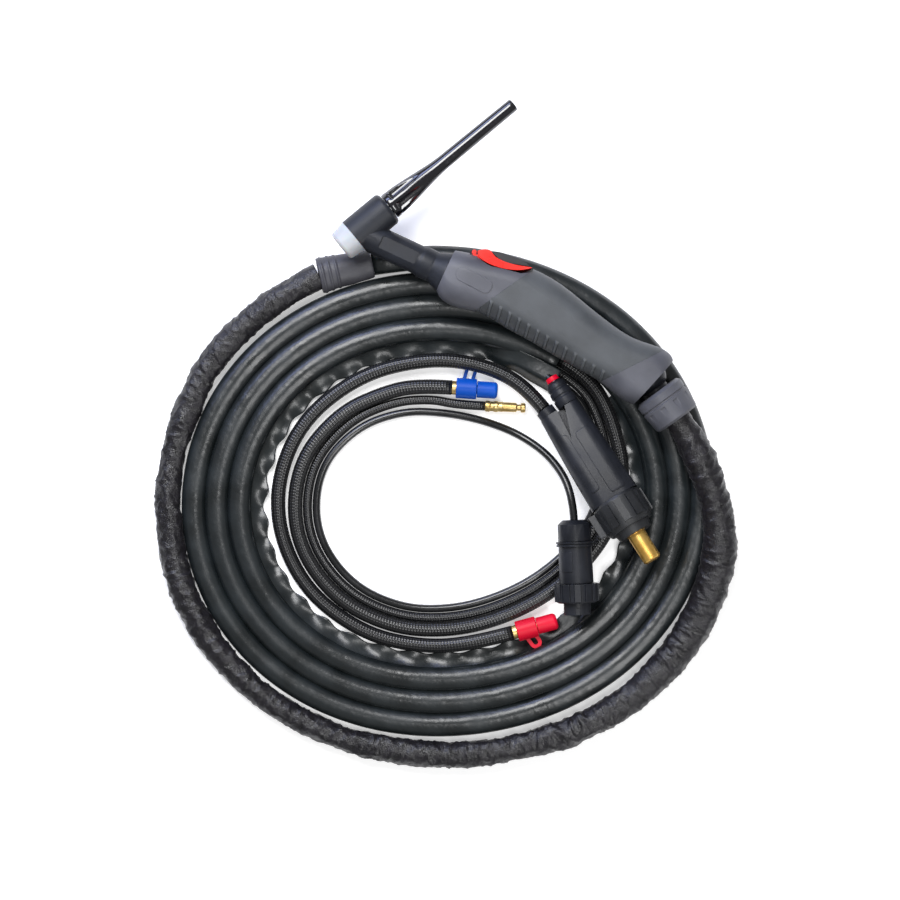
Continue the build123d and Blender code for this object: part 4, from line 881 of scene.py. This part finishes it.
def flap_place(along, across):
    """Waved strip beside the sleeve that rises into a hood over the cables at its end."""
    run = sleeve_reach[flap_first] + along * (flap_length + 5 * MM)
    centre, way = on_sleeve(min(run, sleeve_reach[-1]))
    centre = centre + way * max(0.0, run - sleeve_reach[-1])
    inward = Vector((way.y, -way.x, 0)).normalized()
    left = (1 - along) * flap_length / MM
    hood = smooth_step(1 - left / HOOD_LENGTH)
    drift = 1.8 * noise.noise(Vector((run * 7, 3, 0)))
    wave = math.sin(2 * math.pi * (run / MM) / WAVE_LENGTH + drift)
    free = across ** 1.3 * (1 - hood)
    ragged = noise.noise(Vector((run * 60, 9, 0)))
    wide = FLAP_WIDTH + 2.6 * hood + (1.2 * wave + ragged) * free
    low = 1.4 + 8.0 * (1 - across) ** 2.2 + 1.5 * (wave + 1) * free
    slack = 0.6 * noise.noise(Vector((run * 40, across, 0)))
    high = HOOD_HEIGHT - 11.5 * smooth_step((across - 0.62) / 0.38) + slack
    height = low + (high - low) * hood
    spot = Vector((centre.x, centre.y, 0)) + inward * (FLAP_ROOT + wide * across) * MM
    away = (spot.xy - pressed_spot.xy).length / MM
    pressed = 1 - smooth_step((away - PRESSED_REACH) / PRESSED_EASE)
    height -= pressed * max(0.0, height - PRESSED_HEIGHT)
    return spot + Vector((0, 0, (FLOOR + height) * MM))


flap = sheet_along("sleeve_flap_waved", 440, 16, flap_place)
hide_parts("sleeve_flap")
print(f"flap: {flap_length:.3f} m long, {len(flap.data.polygons)} faces before its wall")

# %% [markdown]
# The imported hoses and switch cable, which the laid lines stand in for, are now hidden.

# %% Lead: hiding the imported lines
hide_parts("water_in_hose")
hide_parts("gas_hose")
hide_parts("switch_cable")
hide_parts("return_hose")
print("cords declared:", [piece.name for piece in (cover, sleeve, water, gas, switch, back)])

# %% [markdown]
# ## Stage, light and camera
#
# The torch lies on a white sweep.  The floor's own white is made by the camera seeing a little glow
# from it, so that the lamps can stay at a level where dark plastic keeps its tone, and it still shows
# the soft shadow.  A softbox to the left, a narrow strip light to the right and a cooler strip at the
# upper left stand low enough that no flat face mirrors them into the lens, and give the hoses and the
# cap their long highlights.

# %% Floor
FLOOR_GLOW = 0.42
white, tree, shader = finish("white paper sweep", Roughness=0.9)
shader.inputs["Base Color"].default_value = linear("#f2f2f2")
seen = add(tree, "LightPath")
glow = add(tree, "Math", {0: seen.outputs["Is Camera Ray"], 1: seen.outputs["Is Glossy Ray"]},
           operation="MAXIMUM")
shader.inputs["Emission Color"].default_value = (1, 1, 1, 1)
tree.links.new(add(tree, "Math", {0: glow.outputs[0], 1: FLOOR_GLOW}, operation="MULTIPLY").outputs[0],
               shader.inputs["Emission Strength"])
shape = bmesh.new()
bmesh.ops.create_grid(shape, x_segments=1, y_segments=1, size=3.0)
floor = piece_from(shape, "floor", white)
floor.location = (0.13, -0.1, (FLOOR - 0.3) * MM)
print("floor at", round(floor.location.z, 4), "m")

# %% [markdown]
# The surroundings are white where the camera sees them and a quarter as bright in mirrors and clear
# things, and give only a low fill to everything else, so dark plastics aren't washed out.

# %% Surroundings
MIRROR_SHARE = 0.25
FILL_LIGHT = 0.16
world = bpy.data.worlds.new("studio")
bpy.context.scene.world = world
world.use_nodes = True
tree = world.node_tree
background = tree.nodes["Background"]
background.inputs["Color"].default_value = (1, 1, 1, 1)
seen = add(tree, "LightPath")
mirrored = add(tree, "Math", {0: seen.outputs["Is Glossy Ray"],
                              1: seen.outputs["Is Transmission Ray"]}, operation="MAXIMUM")
part = add(tree, "Math", {0: mirrored.outputs[0], 1: MIRROR_SHARE}, operation="MULTIPLY")
white_share = add(tree, "Math", {0: part.outputs[0], 1: seen.outputs["Is Camera Ray"]},
                  operation="MAXIMUM")
level = add(tree, "MapRange", {"Value": white_share.outputs[0], "To Min": FILL_LIGHT, "To Max": 1.0})
tree.links.new(level.outputs["Result"], background.inputs["Strength"])
print("surroundings:", len(tree.nodes), "nodes")


# %% Lamps
def softbox(name, where, aim, size, power):
    """Area lamp that faces a point."""
    lamp = bpy.data.lights.new(name, "AREA")
    lamp.shape = "RECTANGLE"
    lamp.size, lamp.size_y = size
    lamp.energy = power
    holder = bpy.data.objects.new(name, lamp)
    holder.location = where
    holder.rotation_euler = (Vector(aim) - Vector(where)).to_track_quat("-Z", "Y").to_euler()
    bpy.context.scene.collection.objects.link(holder)
    return holder


centre = (0.13, -0.1, -0.01)
softbox("softbox left", (-0.36, 0.34, 1.0), centre, (0.6, 0.5), 15.0)
softbox("strip light right", (0.66, -0.35, 0.95), centre, (0.2, 0.9), 7.0)
cool = softbox("strip light upper left", (-0.75, 0.45, 0.6), centre, (0.9, 0.3), 7.0)
cool.data.color = linear("#b9c8ff")[:3]
print("lamps:", [lamp.name for lamp in bpy.data.lights])

# %% [markdown]
# The camera looks straight down from well above, through a long lens, and is rolled so that the neck
# of the torch runs down to the right across the picture.

# %% Camera
VIEW_CENTRE = Vector((0.1288, -0.0960, 0.0))
VIEW_WIDTH = 0.630
VIEW_ROLL = 25
lens = bpy.data.cameras.new("camera")
lens.lens = 110
lens.sensor_width = 36
camera = bpy.data.objects.new("camera", lens)
camera.location = VIEW_CENTRE + Vector((0, 0, VIEW_WIDTH * lens.lens / lens.sensor_width - 0.01))
camera.rotation_euler = (0, 0, math.radians(VIEW_ROLL))
bpy.context.scene.collection.objects.link(camera)
bpy.context.scene.camera = camera
bpy.context.scene.view_settings.view_transform = "Standard"
print("camera", round(camera.location.z, 3), "m above the torch")
